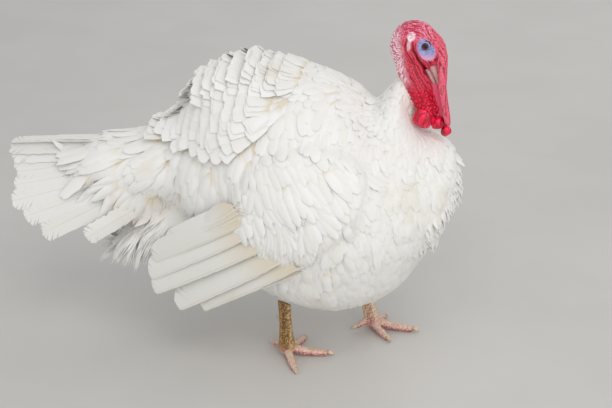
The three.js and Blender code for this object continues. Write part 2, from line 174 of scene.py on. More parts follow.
def remeshed(piece: Piece, voxel: float, rounds: int) -> None:
    """Rebuilds a piece's surface evenly and smooths it.

    Args:
        piece: the object to change.
        voxel: how fine the new surface is, in mm.
        rounds: how often it is smoothed.
    """
    applied(piece, "REMESH", mode="VOXEL", voxel_size=voxel * MM)
    applied(piece, "SMOOTH", factor=0.5, iterations=rounds)


def edited(piece: Piece, *steps: Callable[[], object]) -> None:
    """Runs operators on the whole of a piece in edit mode.

    Args:
        piece: the object to change.
        steps: the operators, ready to call.
    """
    only(piece)
    bpy.ops.object.mode_set(mode="EDIT")
    bpy.ops.mesh.select_all(action="SELECT")
    for step in steps:
        step()
    bpy.ops.object.mode_set(mode="OBJECT")


def face_out() -> None:
    """Turns the faces of the mesh that is edited outwards."""
    bpy.ops.mesh.normals_make_consistent(inside=False)


def values_of(items: Iterable, name: str, width: int = 1, kind: type = np.float32) -> Array:
    """A property of every vertex, edge, corner or the like of a mesh.

    Args:
        items: the mesh's collection of them.
        name: the property.
        width: how many numbers it has.
        kind: their type.

    Returns:
        One row for each item.
    """
    out = np.empty(len(items) * width, kind)
    items.foreach_get(name, out)
    return out.reshape(-1, width)


def points_of(piece: Piece) -> Array:
    """The piece's vertices, one row each, in metres."""
    return values_of(piece.data.vertices, "co", 3).astype(float)


def normals_of(piece: Piece) -> Array:
    """The piece's vertex normals."""
    return values_of(piece.data.vertex_normals, "vector", 3).astype(float)


def edges_of(piece: Piece) -> Array:
    """The piece's edges, as pairs of vertex numbers."""
    return values_of(piece.data.edges, "vertices", 2, np.int32)


def move_to(piece: Piece, points: Array) -> None:
    """Puts the piece's vertices at these points."""
    piece.data.vertices.foreach_set("co", points.astype(np.float32).ravel())
    piece.data.update()


def store(piece: Piece, name: str, kind: Kind, values: Array) -> None:
    """Stores a value for each vertex of a piece.

    Args:
        piece: the object.
        name: what the finishes call the value.
        kind: what it is.
        values: one row for each vertex; a colour's fourth number is added here.
    """
    if kind is Kind.COLOUR:
        values = np.concatenate([values[:, :3], np.ones((len(values), 1))], axis=1)
    sort, word = kind.value
    piece.data.attributes.new(name, sort, "POINT").data.foreach_set(word, values.astype(np.float32).ravel())


def store_tones(piece: Piece, tint: Array, fleck: Array, groove: Array, hollow: Array) -> None:
    """Stores what the finishes of naked skin and scales need.

    Args:
        piece: the object.
        tint: its main colour at each vertex.
        fleck: the colour of its flecks.
        groove: the colour of its grooves, in part painted shade.
        hollow: 0 in its grooves and 1 on its ridges.
    """
    for name, values in (("tint", tint), ("fleck", fleck), ("groove", groove)):
        store(piece, name, Kind.COLOUR, values)
    store(piece, "hollow", Kind.NUMBER, hollow)


def relaxed(values: Array, edges: Array, rounds: int, keep: float = 0.4) -> Array:
    """Values on the vertices, averaged with their neighbours' this many times.

    Args:
        values: one row for each vertex.
        edges: the mesh's edges.
        rounds: how often.
        keep: the share of its own value that a vertex keeps each time.

    Returns:
        The smoothed values.
    """
    count = len(values)
    degree = np.maximum(np.bincount(edges.ravel(), minlength=count), 1)
    flat = values.reshape(count, -1).astype(float)
    for _ in range(rounds):
        total = np.empty_like(flat)
        for k in range(flat.shape[1]):
            total[:, k] = np.bincount(edges[:, 0], flat[edges[:, 1], k], count)
            total[:, k] += np.bincount(edges[:, 1], flat[edges[:, 0], k], count)
        flat = keep * flat + (1 - keep) * total / degree[:, None]
    return flat.reshape(values.shape)


def mesh_piece(name: str, points: Array, faces: Sequence[Array]) -> Piece:
    """A new object from points and faces.

    Args:
        name: the object's name.
        points: its vertices in metres.
        faces: arrays of faces, each with the same number of corners in every row.

    Returns:
        The object, linked to the scene.
    """
    mesh = bpy.data.meshes.new(name)
    mesh.vertices.add(len(points))
    mesh.vertices.foreach_set("co", points.astype(np.float32).ravel())
    corners = np.concatenate([f.ravel() for f in faces]).astype(np.int32)
    sizes = np.concatenate([np.full(len(f), f.shape[1]) for f in faces])
    starts = np.concatenate([[0], np.cumsum(sizes)[:-1]]).astype(np.int32)
    mesh.loops.add(len(corners))
    mesh.loops.foreach_set("vertex_index", corners)
    mesh.polygons.add(len(sizes))
    mesh.polygons.foreach_set("loop_start", starts)
    mesh.update(calc_edges=True)
    mesh.validate()
    piece = bpy.data.objects.new(name, mesh)
    bpy.context.scene.collection.objects.link(piece)
    return piece


def node_copy(name: str, nodes: Iterable[str]) -> Piece:
    """One object that holds copies of these solids, with their doubled vertices merged.

    Args:
        name: the object's name.
        nodes: the solids' names.

    Returns:
        The object.
    """
    copies = []
    for node in nodes:
        copy = bpy.data.objects.new(name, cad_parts[node].data.copy())
        bpy.context.scene.collection.objects.link(copy)
        copies.append(copy)
    only(*copies)
    if len(copies) > 1:
        bpy.ops.object.join()
    piece = bpy.context.view_layer.objects.active
    piece.name = piece.data.name = name
    piece.data.materials.clear()
    edited(piece, partial(bpy.ops.mesh.remove_doubles, threshold=0.00002), face_out)
    return piece


def finished(
    piece: Piece, finish: Material, nodes: Sequence[str] = (), crease: float = 180
) -> None:
    """Dresses a piece, makes it ride on the body and stand for these solids, and reports it.

    Args:
        piece: the modelled piece.
        finish: its material.
        nodes: the solids that it stands for.
        crease: the angle in degrees from which an edge stays sharp.
    """
    only(piece)
    bpy.ops.object.shade_smooth()
    if crease < 180:
        bpy.ops.object.shade_smooth_by_angle(angle=math.radians(crease))
    piece.data.materials.clear()
    piece.data.materials.append(finish)
    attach(piece, "root")
    if nodes:
        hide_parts(*nodes)
    piece.data.calc_loop_triangles()
    LOG.info("%s: %d triangles", piece.name, len(piece.data.loop_triangles))


# ---- finishes


@dataclass
class Wiring:
    """A node tree in the making, with short ways to add to it."""

    tree: Tree

    def feed(self, node: Node, inputs: dict[str | int, object]) -> None:
        """Gives a node its inputs.

        Args:
            node: the node.
            inputs: for each input, a socket to link to it or a plain value.
        """
        for name, value in inputs.items():
            if isinstance(value, Socket):
                self.tree.links.new(value, node.inputs[name])
            else:
                node.inputs[name].default_value = value

    def add(self, kind: str, inputs: dict[str | int, object] | None = None, **settings: object) -> Node:
        """Adds a node.

        Args:
            kind: its type, without the word ShaderNode.
            inputs: sockets and plain values for its inputs.
            settings: its properties.

        Returns:
            The node.
        """
        node = self.tree.nodes.new(f"ShaderNode{kind}")
        for name, value in settings.items():
            setattr(node, name, value)
        self.feed(node, inputs or {})
        return node

    def maths(self, operation: str, *values: object) -> Socket:
        """What an operation makes of sockets or numbers."""
        return self.add("Math", dict(enumerate(values)), operation=operation).outputs[0]

    def span(self, value: Socket, low: object, high: object, to: tuple[float, float] = (0, 1)) -> Socket:
        """A value mapped smoothly from one span to another."""
        inputs = {"Value": value, "From Min": low, "From Max": high, "To Min": to[0], "To Max": to[1]}
        return self.add("MapRange", inputs, interpolation_type="SMOOTHSTEP").outputs["Result"]

    def mix(self, share: Socket, first: object, second: object, blend: str = "MIX") -> Socket:
        """Two colours mixed; each is a socket or a colour.

        Args:
            share: how much of the second shows.
            first: the colour at 0.
            second: the colour at 1.
            blend: how they mix.

        Returns:
            The mixed colour's socket.
        """
        inputs = {"Factor": share, MIX_COLOURS[0]: first, MIX_COLOURS[1]: second}
        return self.add("Mix", inputs, data_type="RGBA", blend_type=blend).outputs[MIX_RESULT]


class Effects:
    """Node groups that more than one finish uses, each built once."""

    def __init__(self) -> None:
        """Builds the groups."""
        self.mottle, self.barbs, self.pores = self._mottle(), self._barbs(), self._pores()

    @staticmethod
    def _new(name: str, inputs: dict[str, str | float], outputs: dict[str, str]) -> tuple[Wiring, Node, Node]:
        """Starts a group.

        Args:
            name: its name.
            inputs: its inputs, each with the kind of its socket or, for a number, with its usual value.
            outputs: its outputs, each with the kind of its socket.

        Returns:
            Its wiring, the node that gives its inputs and the node that takes its outputs.
        """
        group = bpy.data.node_groups.new(name, "ShaderNodeTree")
        for key, usual in inputs.items():
            kind = usual if isinstance(usual, str) else "Float"
            made = group.interface.new_socket(name=key, in_out="INPUT", socket_type=f"NodeSocket{kind}")
            if kind == "Float":
                made.default_value = usual
        for key, kind in outputs.items():
            group.interface.new_socket(name=key, in_out="OUTPUT", socket_type=f"NodeSocket{kind}")
        return Wiring(group), group.nodes.new("NodeGroupInput"), group.nodes.new("NodeGroupOutput")

    def _mottle(self) -> Tree:
        """Soft blotches that mix two colours, by a noise of the given scale and share.

        Returns:
            The group.
        """
        inputs = {"Vector": "Vector", "Scale": 200, "Low": 0.4, "High": 0.6}
        inputs |= {"First": "Color", "Second": "Color"}
        wiring, source, sink = self._new("mottle", inputs, {"Color": "Color", "Mask": "Float"})
        given = source.outputs
        grain = wiring.add("TexNoise", {"Vector": given["Vector"], "Scale": given["Scale"], "Detail": 3})
        mask = wiring.span(grain.outputs["Fac"], given["Low"], given["High"])
        wiring.feed(sink, {"Color": wiring.mix(mask, given["First"], given["Second"]), "Mask": mask})
        return wiring.tree

    def _barbs(self) -> Tree:
        """The fine slanting barbs of a vane and its shaft, from the vane attribute.

        Returns:
            The group.
        """
        outputs = dict.fromkeys(("Height", "Shaft", "Along", "Chance"), "Float")
        wiring, source, sink = self._new("barbs", {"Count": 60, "Slant": 0.3}, outputs)
        given = source.outputs
        vane = wiring.add("Attribute", attribute_name="vane")
        along, across, chance = wiring.add("SeparateXYZ", {0: vane.outputs["Vector"]}).outputs
        aside = wiring.maths("ABSOLUTE", across)
        run = wiring.maths("SUBTRACT", along, wiring.maths("MULTIPLY", aside, given["Slant"]))
        wave = wiring.maths("SINE", wiring.maths("MULTIPLY", run, given["Count"]))
        shaft = wiring.span(aside, 0.1, 0.02)
        wiring.feed(sink, {"Height": wave, "Shaft": shaft, "Along": along, "Chance": chance})
        return wiring.tree

    def _pores(self) -> Tree:
        """Fine pebbles of skin or scale, as a height.

        Returns:
            The group.
        """
        wiring, source, sink = self._new("pores", {"Vector": "Vector", "Scale": 600}, {"Height": "Float"})
        given = {name: source.outputs[name] for name in ("Vector", "Scale")}
        pebbles = wiring.add("TexVoronoi", given, feature="SMOOTH_F1").outputs["Distance"]
        grain = wiring.add("TexNoise", given).outputs["Fac"]
        wiring.feed(sink, {"Height": wiring.maths("SUBTRACT", grain, pebbles)})
        return wiring.tree


class Paint(Wiring):
    """A material in the making."""

    def __init__(self, name: str, effects: Effects, settings: dict[str, object]) -> None:
        """Makes the material with its shader alone.

        Args:
            name: its name.
            effects: the shared node groups.
            settings: plain values for its shader's inputs.
        """
        self.material = bpy.data.materials.new(name)
        self.material.use_nodes = True
        super().__init__(self.material.node_tree)
        self.shader = self.tree.nodes["Principled BSDF"]
        self.effects = effects
        self.feed(self.shader, settings)

    def group(self, effect: Tree, inputs: dict[str, object]) -> dict[str, Socket]:
        """Places a shared effect; one that takes a place gets the piece's own coordinates.

        Args:
            effect: the node group.
            inputs: sockets and plain values for its inputs.

        Returns:
            Its outputs.
        """
        node = self.add("Group", inputs, node_tree=effect)
        if "Vector" in node.inputs:
            self.feed(node, {"Vector": self.add("TexCoord").outputs["Object"]})
        return node.outputs

    def stored(self, name: str, output: str = "Color") -> Socket:
        """A value stored on the mesh."""
        return self.add("Attribute", attribute_name=name).outputs[output]

    def base(self, value: Socket) -> None:
        """Feeds the base colour."""
        self.feed(self.shader, {"Base Color": value})

    def bump(self, height: Socket, strength: float, distance: float) -> None:
        """Raises the surface by a height."""
        bump = self.add("Bump", {"Height": height, "Strength": strength, "Distance": distance})
        self.feed(self.shader, {"Normal": bump.outputs["Normal"]})

    def pores(self, scale: float, strength: float, distance: float) -> None:
        """Raises fine pebbles."""
        self.bump(self.group(self.effects.pores, {"Scale": scale})["Height"], strength, distance)

    def hide(self, scale: float, share: tuple[float, float], ridge: tuple[float, float]) -> None:
        """Paints the colours, flecks and grooves stored on the mesh; the flecks are in part painted highlight
        and the groove colour is in part painted shade in the creases.

        Args:
            scale: how fine the flecks are.
            share: between which values of their noise they come up.
            ridge: between which heights a groove ends.
        """
        inputs = {"Scale": scale, "Low": share[0], "High": share[1]}
        inputs |= {"First": self.stored("tint"), "Second": self.stored("fleck")}
        flecked = self.group(self.effects.mottle, inputs)["Color"]
        hollow = self.span(self.stored("hollow", "Fac"), *ridge, (1, 0))
        self.base(self.mix(hollow, flecked, self.stored("groove")))


class Finish:
    """A look that can be made into a material."""

    name: str
    settings: dict[str, object]

    def make(self, effects: Effects) -> Material:
        """Builds the material.

        Args:
            effects: the shared node groups.

        Returns:
            The material.
        """
        paint = Paint(self.name, effects, self.settings)
        self.dress(paint)
        return paint.material

    def dress(self, paint: Paint) -> None:
        """Adds the nodes; each finish has its own."""
        raise NotImplementedError


@dataclass(frozen=True)
class FeatherFinish(Finish):
    """White vanes: warm beige at the root as painted shade where the feathers overlap, white at the end, with
    barbs and a pale shaft.
    """

    settings = {"Roughness": 0.62, "Specular IOR Level": 0.2}
    name: str
    # painted shade: the warm root colour stands for the shade under the overlapping feathers
    root: Colour = colour(230, 215, 188)
    end: Colour = colour(241, 240, 237)
    shaft: Colour = colour(240, 235, 222)
    stain: Colour = colour(240, 233, 218)
    shade: Colour = colour(240, 236, 228)
    root_shade_from: float = 0.12
    warm_to: float = 0.5
    shaft_share: float = 0.45
    stain_share: float = 0.32
    shade_share: float = 0.3
    count: float = 130.0
    slant: float = 0.25
    depth: float = 0.0003

    def dress(self, paint: Paint) -> None:
        """Adds the nodes.

        Args:
            paint: the material in the making.
        """
        barbs = paint.group(paint.effects.barbs, {"Count": self.count, "Slant": self.slant})
        blotch = paint.group(paint.effects.mottle, {"Scale": 9, "Low": 0.56, "High": 0.75})
        body = paint.mix(paint.span(barbs["Along"], self.root_shade_from, self.warm_to), self.root, self.end)
        body = paint.mix(paint.span(barbs["Shaft"], 0, 1, (0, self.shaft_share)), body, self.shaft)
        stained = paint.span(blotch["Mask"], 0, 1, (0, self.stain_share))
        body = paint.mix(stained, body, self.stain, "MULTIPLY")
        shaded = paint.span(barbs["Chance"], 0, 1, (0, self.shade_share))
        paint.base(paint.mix(shaded, body, self.shade, "MULTIPLY"))
        paint.bump(barbs["Height"], 0.2, self.depth)


@dataclass(frozen=True)
class FleshFinish(Finish):
    """Naked skin of the head, its colours stored on the mesh, and the pale skin under the plumage."""

    settings = {
        "Roughness": 0.42,
        "Specular IOR Level": 0.3,
        "Coat Roughness": 0.28,
        "Subsurface Weight": 0.12,
        "Subsurface Radius": (1.0, 0.3, 0.2),
        "Subsurface Scale": 0.003,
    }
    name: str = "head_skin"

    def dress(self, paint: Paint) -> None:
        """Adds the nodes.

        Args:
            paint: the material in the making.
        """
        paint.hide(420, (0.42, 0.6), (0.0, 0.7))
        paint.pores(520, 0.35, 0.0006)
        paint.feed(paint.shader, {"Coat Weight": paint.stored("gloss", "Fac")})


@dataclass(frozen=True)
class ScaleFinish(Finish):
    """Scaly leg skin: its colours, flecks and grooves are stored on the mesh."""

    settings = {"Roughness": 0.5, "Coat Weight": 0.1}
    name: str = "leg_scale"

    def dress(self, paint: Paint) -> None:
        """Adds the nodes.

        Args:
            paint: the material in the making.
        """
        paint.hide(160, (0.42, 0.62), (0.1, 0.6))
        paint.pores(700, 0.3, 0.0004)


@dataclass(frozen=True)
class HornFinish(Finish):
    """Horn of the bill, claws and spurs, streaked lengthwise and paler to its end."""

    settings = {"Roughness": 0.36, "Coat Weight": 0.25}
    name: str
    near: Colour
    far: Colour
    streak: Colour

    def dress(self, paint: Paint) -> None:
        """Adds the nodes.

        Args:
            paint: the material in the making.
        """
        streaks = paint.group(paint.effects.mottle, {"Scale": 300, "Low": 0.4, "High": 0.7})
        body = paint.mix(paint.stored("end", "Fac"), self.near, self.far)
        paint.base(paint.mix(paint.span(streaks["Mask"], 0, 1, (0, 0.6)), body, self.streak))
        paint.pores(900, 0.15, 0.0003)


@dataclass(frozen=True)
class EyeFinish(Finish):
    """A dark brown iris round a black pupil, dark red at its rim, under a wet cornea."""

    settings = {"Roughness": 0.08, "Specular IOR Level": 0.2, "Coat Weight": 0.6, "Coat Roughness": 0.02}
    name: str = "eye"
    pupil: Colour = colour(4, 3, 3)
    iris: tuple[Colour, Colour] = (colour(38, 16, 10), colour(74, 38, 20))
    rim: Colour = colour(92, 22, 24)

    def dress(self, paint: Paint) -> None:
        """Adds the nodes.

        Args:
            paint: the material in the making.
        """
        inputs = {"Scale": 900, "Low": 0.35, "High": 0.7, "First": self.iris[0], "Second": self.iris[1]}
        iris = paint.group(paint.effects.mottle, inputs)["Color"]
        gaze = paint.stored("gaze", "Fac")
        eye = paint.mix(paint.span(gaze, 0.34, 0.42), self.pupil, iris)
        paint.base(paint.mix(paint.span(gaze, 0.66, 0.85), eye, self.rim))


@dataclass(frozen=True)
class FloorFinish(Finish):
    """A plain pale studio floor with a faint unevenness."""

    settings = {"Roughness": 0.8}
    name: str = "studio_floor"
    tones: tuple[Colour, Colour] = (colour(203, 200, 195), colour(207, 204, 199))

    def dress(self, paint: Paint) -> None:
        """Adds the nodes.

        Args:
            paint: the material in the making.
        """
        inputs = {"Scale": 3, "Low": 0.3, "High": 0.7, "First": self.tones[0], "Second": self.tones[1]}
        paint.base(paint.group(paint.effects.mottle, inputs)["Color"])


# ---- shapes shared


class SolidMap:
    """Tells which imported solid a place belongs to."""

    def __init__(self, names: Sequence[str]) -> None:
        """Gathers the solids' triangles.

        Args:
            names: the solids to tell apart.
        """
        corners, faces, owner = [], [], []
        for number, name in enumerate(names):
            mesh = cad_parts[name].data
            first = len(corners)
            corners += [v.co.copy() for v in mesh.vertices]
            for polygon in mesh.polygons:
                faces.append([first + v for v in polygon.vertices])
                owner.append(number)
        self.names = tuple(names)
        self.owner = np.array(owner)
        self.tree = BVHTree.FromPolygons(corners, faces)

    def within(self, owners: Array, names: Iterable[str]) -> Array:
        """Which of these owners' numbers belong to one of these solids."""
        return np.isin(owners, [self.names.index(name) for name in names])

    def owners(self, points: Array) -> Array:
        """The number of the nearest solid to each point."""
        return self.owner[[self.tree.find_nearest(Vector(p))[2] for p in points]]


def turned(points: Array, yaw: float) -> Array:
    """Points turned about Z.

    Args:
        points: the places.
        yaw: the angle in radians.

    Returns:
        The turned places.
    """
    c, s = math.cos(yaw), math.sin(yaw)
    x, y = points[..., 0], points[..., 1]
    return np.stack([c * x - s * y, s * x + c * y, points[..., 2]], axis=-1)


def on_head(points: Array) -> Array:
    """Places given in the head's own frame, in mm, as places on the bird in metres."""
    return (turned(points, HEAD_YAW) + np.array(HEAD_AT)) * MM


def in_head(points: Array) -> Array:
    """Places on the bird in metres as places in the head's own frame, in mm."""
    return turned(points / MM - np.array(HEAD_AT), -HEAD_YAW)


def cells(points: Array, size: float) -> Array:
    """Rounded pebbles: 0 in the grooves between them and 1 on top.

    Args:
        points: places in mm.
        size: how far apart the pebbles are.

    Returns:
        One height for each place.
    """
    out = np.empty(len(points))
    for i, p in enumerate(points / size):
        near = noise.voronoi(Vector(p))[0]
        out[i] = near[1] - near[0]
    return smoothstep(0.0, 0.55, out)


def drift(points: Array, size: float) -> Array:
    """A soft noise from -1 to 1 with features of this size in mm."""
    return np.array([noise.noise(Vector(p)) for p in points / size])


def folds(points: Array, across: Point, width: float, wander: float) -> Array:
    """Rounded parallel folds: 0 in their grooves and 1 on top.

    Args:
        points: places in mm.
        across: the direction across the folds.
        width: how far apart they are.
        wander: how far they wander, in mm.

    Returns:
        One height for each place.
    """
    run = points @ unit(np.array(across)) + wander * drift(points, 17.0)
    return np.abs(np.cos(math.pi * run / width)) ** 0.6


def everywhere(tone: Colour, count: int) -> Array:
    """One colour for each of this many vertices."""
    return np.tile(np.array(tone[:3]), (count, 1))


def layered(base: Array, *layers: tuple[Colour, Array]) -> Array:
    """Colours laid over others, one after another.

    Args:
        base: the colours underneath, one for each vertex.
        layers: each colour with its share for each vertex.

    Returns:
        The colours that show.
    """
    for tone, share in layers:
        base = base + (np.array(tone[:3]) - base) * share[:, None]
    return base


# ---- skin


@dataclass
class Skin:
    """One skin over the whole bird: finely modelled where it is naked and plain under the plumage."""

    body_voxel: float = 6.0
    head_voxel: float = 1.35
    coat_depth: float = 11.0
    ridge_depth: float = 15.0
    neck_thinner: float = 0.6
    shank_thinner: float = 0.4
    unwrap_angle: float = 66.0
    body_nodes: tuple[str, ...] = (
        "breast", "back", "neck", "tail_coverts", "vent",
        "wing_right", "wing_left", "thigh_right", "thigh_left",
    )
    head_nodes: tuple[str, ...] = (
        "head", "throat", "dewlap", "snood",
        "caruncle_right", "caruncle_left", "caruncle_middle", "caruncle_tip",
    )
    lid_rim: float = 6.9
    lid_thick: float = 2.1
    lid_out: float = 6.0

    def _body(self) -> Piece:
        """The shell under the plumage, drawn in by the coat's depth.

        Returns:
            The shell.
        """
        shell = node_copy("skin", (*self.body_nodes, "throat"))
        remeshed(shell, self.body_voxel, 4)
        points, edges = points_of(shell), edges_of(shell)
        x, y, z = (points / MM).T
        neck = smoothstep(500, 585, z)
        shank = smoothstep(215, 175, z) * (np.abs(y) > 50)
        ridge = smoothstep(-170, -110, x) * smoothstep(160, 90, x) * smoothstep(150, 90, np.abs(y))
        ridge = ridge * smoothstep(430, 500, z)
        thin = self.coat_depth * (1 - self.neck_thinner * neck) * (1 - self.shank_thinner * shank)
        depth = thin + self.ridge_depth * ridge
        depth = relaxed(depth, edges, 3)
        inward = unit(relaxed(normals_of(shell), edges, 3))
        move_to(shell, points - inward * depth[:, None] * MM)
        remeshed(shell, self.body_voxel, 3)
        return shell

    def _lids(self) -> list[Piece]:
        """The rims of the lids, one round each eye.

        Returns:
            The rims.
        """
        rims = []
        for side in Side:
            outward = Vector((GAZE[0], side.value, GAZE[2])).normalized()
            place = Vector(EYE_PLACE) * Vector((1, side.value, 1)) + outward * self.lid_out
            centre = Vector(on_head(np.array([place]))[0])
            turn = Matrix.Rotation(HEAD_YAW, 3, "Z") @ outward
            bpy.ops.mesh.primitive_torus_add(
                location=centre,
                rotation=turn.to_track_quat("Z", "Y").to_euler(),
                major_radius=self.lid_rim * MM,
                minor_radius=self.lid_thick * MM,
                major_segments=40,
                minor_segments=12,
            )
            rims.append(bpy.context.view_layer.objects.active)
        return rims

    def _head(self, solids: SolidMap) -> Piece:
        """The naked skin of the head, with its lids, folds, pebbles and lobes.

        Args:
            solids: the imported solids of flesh.

        Returns:
            The head's shell.
        """
        shell = node_copy("head_shell", self.head_nodes)
        only(shell, *self._lids())
        bpy.ops.object.join()
        remeshed(shell, self.head_voxel, 5)
        points, edges = points_of(shell), edges_of(shell)
        local = in_head(points)
        owner = solids.owners(points)
        part = {
            name: relaxed(solids.within(owner, nodes).astype(float), edges, 6)
            for name, nodes in {
                "throat": ("throat",),
                "dewlap": ("dewlap",),
                "snood": ("snood",),
                "lobes": self.head_nodes[4:],
            }.items()
        }
        relief, hollow = self._relief(local, part)
        lift = relief[:, None] * unit(relaxed(normals_of(shell), edges, 2)) * MM
        move_to(shell, points + lift)
        # painted shade: where the skin is hollow its colour turns to the dark groove colour
        dip = ((relaxed(points + lift, edges, 10) - points - lift) * normals_of(shell)).sum(1) / MM
        hollow = hollow * smoothstep(0.8, 0.05, dip)
        self._tints(shell, local, part, hollow)
        return shell

    @staticmethod
    def _marks(local: Array) -> dict[str, Array]:
        """Where each marking of the head lies.

        Args:
            local: the vertices in the head's frame.

        Returns:
            For each marking, its share at each vertex.
        """
        x, y, z = local.T
        eye = np.hypot(x - EYE_PLACE[0], z - EYE_PLACE[2])
        side = smoothstep(8, 16, np.abs(y))
        fray = 1.6 * drift(local, 5.0)
        patch = np.hypot((0.9 * (x - 28) + 0.44 * (z - 9)) / 14.0, (0.9 * (z - 9) - 0.44 * (x - 28)) / 24)
        ear = np.hypot((x + 1 + fray) / 8, (z - 33 + fray) / 9)
        streak = np.hypot((x + 4 + fray) / 5, (z - 18) / 15)
        return {
            "crown": smoothstep(20, 40, z),
            "nape": smoothstep(-8, -27, x + 0.25 * z + 1.5 * fray) * smoothstep(-80, -44, z),
            "patch": (1 - smoothstep(0.8, 1.1, patch + 0.05 * fray)) * side,
            "lilac": smoothstep(6, -8, z) * side,
            "brow": smoothstep(13, 16, eye) * smoothstep(30, 36, x + 0.3 * z) * smoothstep(-12, 2, z),
            "ear": (1 - smoothstep(0.6, 1.15, ear)) * side,
            "streak": 0.6 * (1 - smoothstep(0.5, 1.1, streak)) * side,
            "rim": (1 - smoothstep(5.6, 7.4, eye)) * side,
            "lid": (1 - smoothstep(7.4, 9.6, eye)) * side * smoothstep(-1, -4, z - EYE_PLACE[2]),
            "low": smoothstep(-64, -84, z),
        }

    @staticmethod
    def _ahead(local: Array) -> Array:
        """How far ahead of the deepest fold of the face a place lies, in mm."""
        heights, places = np.array(FOLD_LINE)[::-1].T
        return local[:, 0] - np.interp(local[:, 2], heights, places)

    @staticmethod
    def _wrinkles(flow: Array, width: float) -> Array:
        """Uneven wrinkles that run along the second axis: 0 in their grooves and 1 on top.

        Args:
            flow: places in mm, across the wrinkles first.
            width: how far apart they are.

        Returns:
            One height for each place.
        """
        warp = 0.75 * width * drift(flow, 1.9 * width) + 0.4 * width * drift(flow + 50, 0.8 * width)
        line = np.abs(np.sin(math.pi * (flow[:, 0] + warp) / width)) ** 0.75
        return np.clip(line + 0.35 * drift(flow - 50, 1.2 * width), 0, 1)

    def _relief(self, local: Array, part: dict[str, Array]) -> tuple[Array, Array]:
        """How far the skin stands out, in mm, and where its hollows are.

        Args:
            local: the vertices in the head's frame.
            part: how much each vertex belongs to each part.

        Returns:
            The relief and a value that is 0 in the hollows and 1 on the ridges.
        """
        mark = self._marks(local)
        x, y, z = local.T
        run = self._ahead(local) + 1.8 * drift(local, 15.0)
        wide = np.abs(np.sin(math.pi * run / FOLD_WIDTH)) ** 0.5
        down = -1.2 * z - 0.4 * x
        flow = np.stack([run, 0.16 * down, 0.5 * y], axis=1)
        fine = self._wrinkles(flow, 4.4)
        deep = np.exp(-((run / 2.6) ** 2)) * smoothstep(20, 4, z) * smoothstep(3, 9, np.abs(y))
        lengthwise = np.stack([0.65 * x - 0.76 * z, 0.76 * x + 0.65 * z, y], axis=1)
        round_head = np.stack([46 * np.arctan2(z - 4, x + 1), np.hypot(x, z) * 0.45, y * 0.6], axis=1)
        combed = round_head * (1, 0.55, 0.6) + 1.2 * drift(local, 11.0)[:, None] * (1, 0, 0)
        pebble = cells(local + 2 * drift(local, 9.0)[:, None], 7.2)
        around = np.stack([2.2 * round_head[:, 1], 0.3 * round_head[:, 0], y], axis=1)
        grain = 0.5 * self._wrinkles(around, 5.4) + 0.5 * cells(around * (1, 1.6, 1), 5.4)
        stroke = cells(combed, 4.0) ** 0.5
        wrinkle = self._wrinkles(lengthwise[:, [1, 0, 2]] * (1, 0.13, 0.4), 4.0) ** 1.4
        lobe = cells(local * (1, 1, 0.4), 10.5)
        string = self._wrinkles(local[:, [1, 2, 0]] * (1, 0.14, 0.9), 4.4)
        calm = np.clip(mark["patch"] + mark["ear"] + part["dewlap"] + mark["rim"], 0, 1)
        brow = mark["brow"] * (1 - calm)
        nape = mark["nape"] * (1 - calm)
        top = mark["crown"] * (1 - nape) * (1 - calm) * (1 - brow)
        plain = (1 - part["snood"]) * (1 - part["lobes"]) * (1 - part["dewlap"])
        low = mark["low"] * plain * (1 - 0.7 * nape)
        cheek = (1 - calm) * (1 - brow) * (1 - nape) * (1 - top) * plain * (1 - low)
        relief = cheek * (2.6 * wide + 2.1 * fine - 2.7)
        relief += top * plain * (2.9 * grain - 1.5) + nape * plain * (1.3 * stroke - 0.6)
        relief += brow * plain * (1.9 * wrinkle - 0.7)
        relief += low * (2.7 * pebble + 1.5 * wide - 2.3)
        relief += part["lobes"] * (2.3 * lobe + 0.5 * grain + 0.8)
        relief += part["snood"] * (2.2 * string - 1.2)
        relief += calm * 0.4 * (grain - 0.5) * (1 - part["dewlap"]) + part["dewlap"] * 0.8 * (string - 0.6)
        relief -= 3.2 * deep * (1 - calm) * (1 - part["lobes"])
        hollow = cheek * (0.25 + 0.75 * wide) * (0.15 + 0.85 * fine)
        hollow += (top * grain**1.9 + nape * stroke + brow * wrinkle) * plain
        hollow += low * (0.7 * pebble + 0.3 * wide) + part["lobes"] * np.clip(lobe + 0.2, 0, 1)
        hollow += part["snood"] * (0.18 + 0.82 * string) + calm * (1 - part["dewlap"] * 0.35 * (1 - string))
        # painted shadow: the deep fold between bill, dewlap and snood takes the dark groove colour
        return relief, np.clip(hollow - 1.1 * deep * (1 - calm), 0, 1)

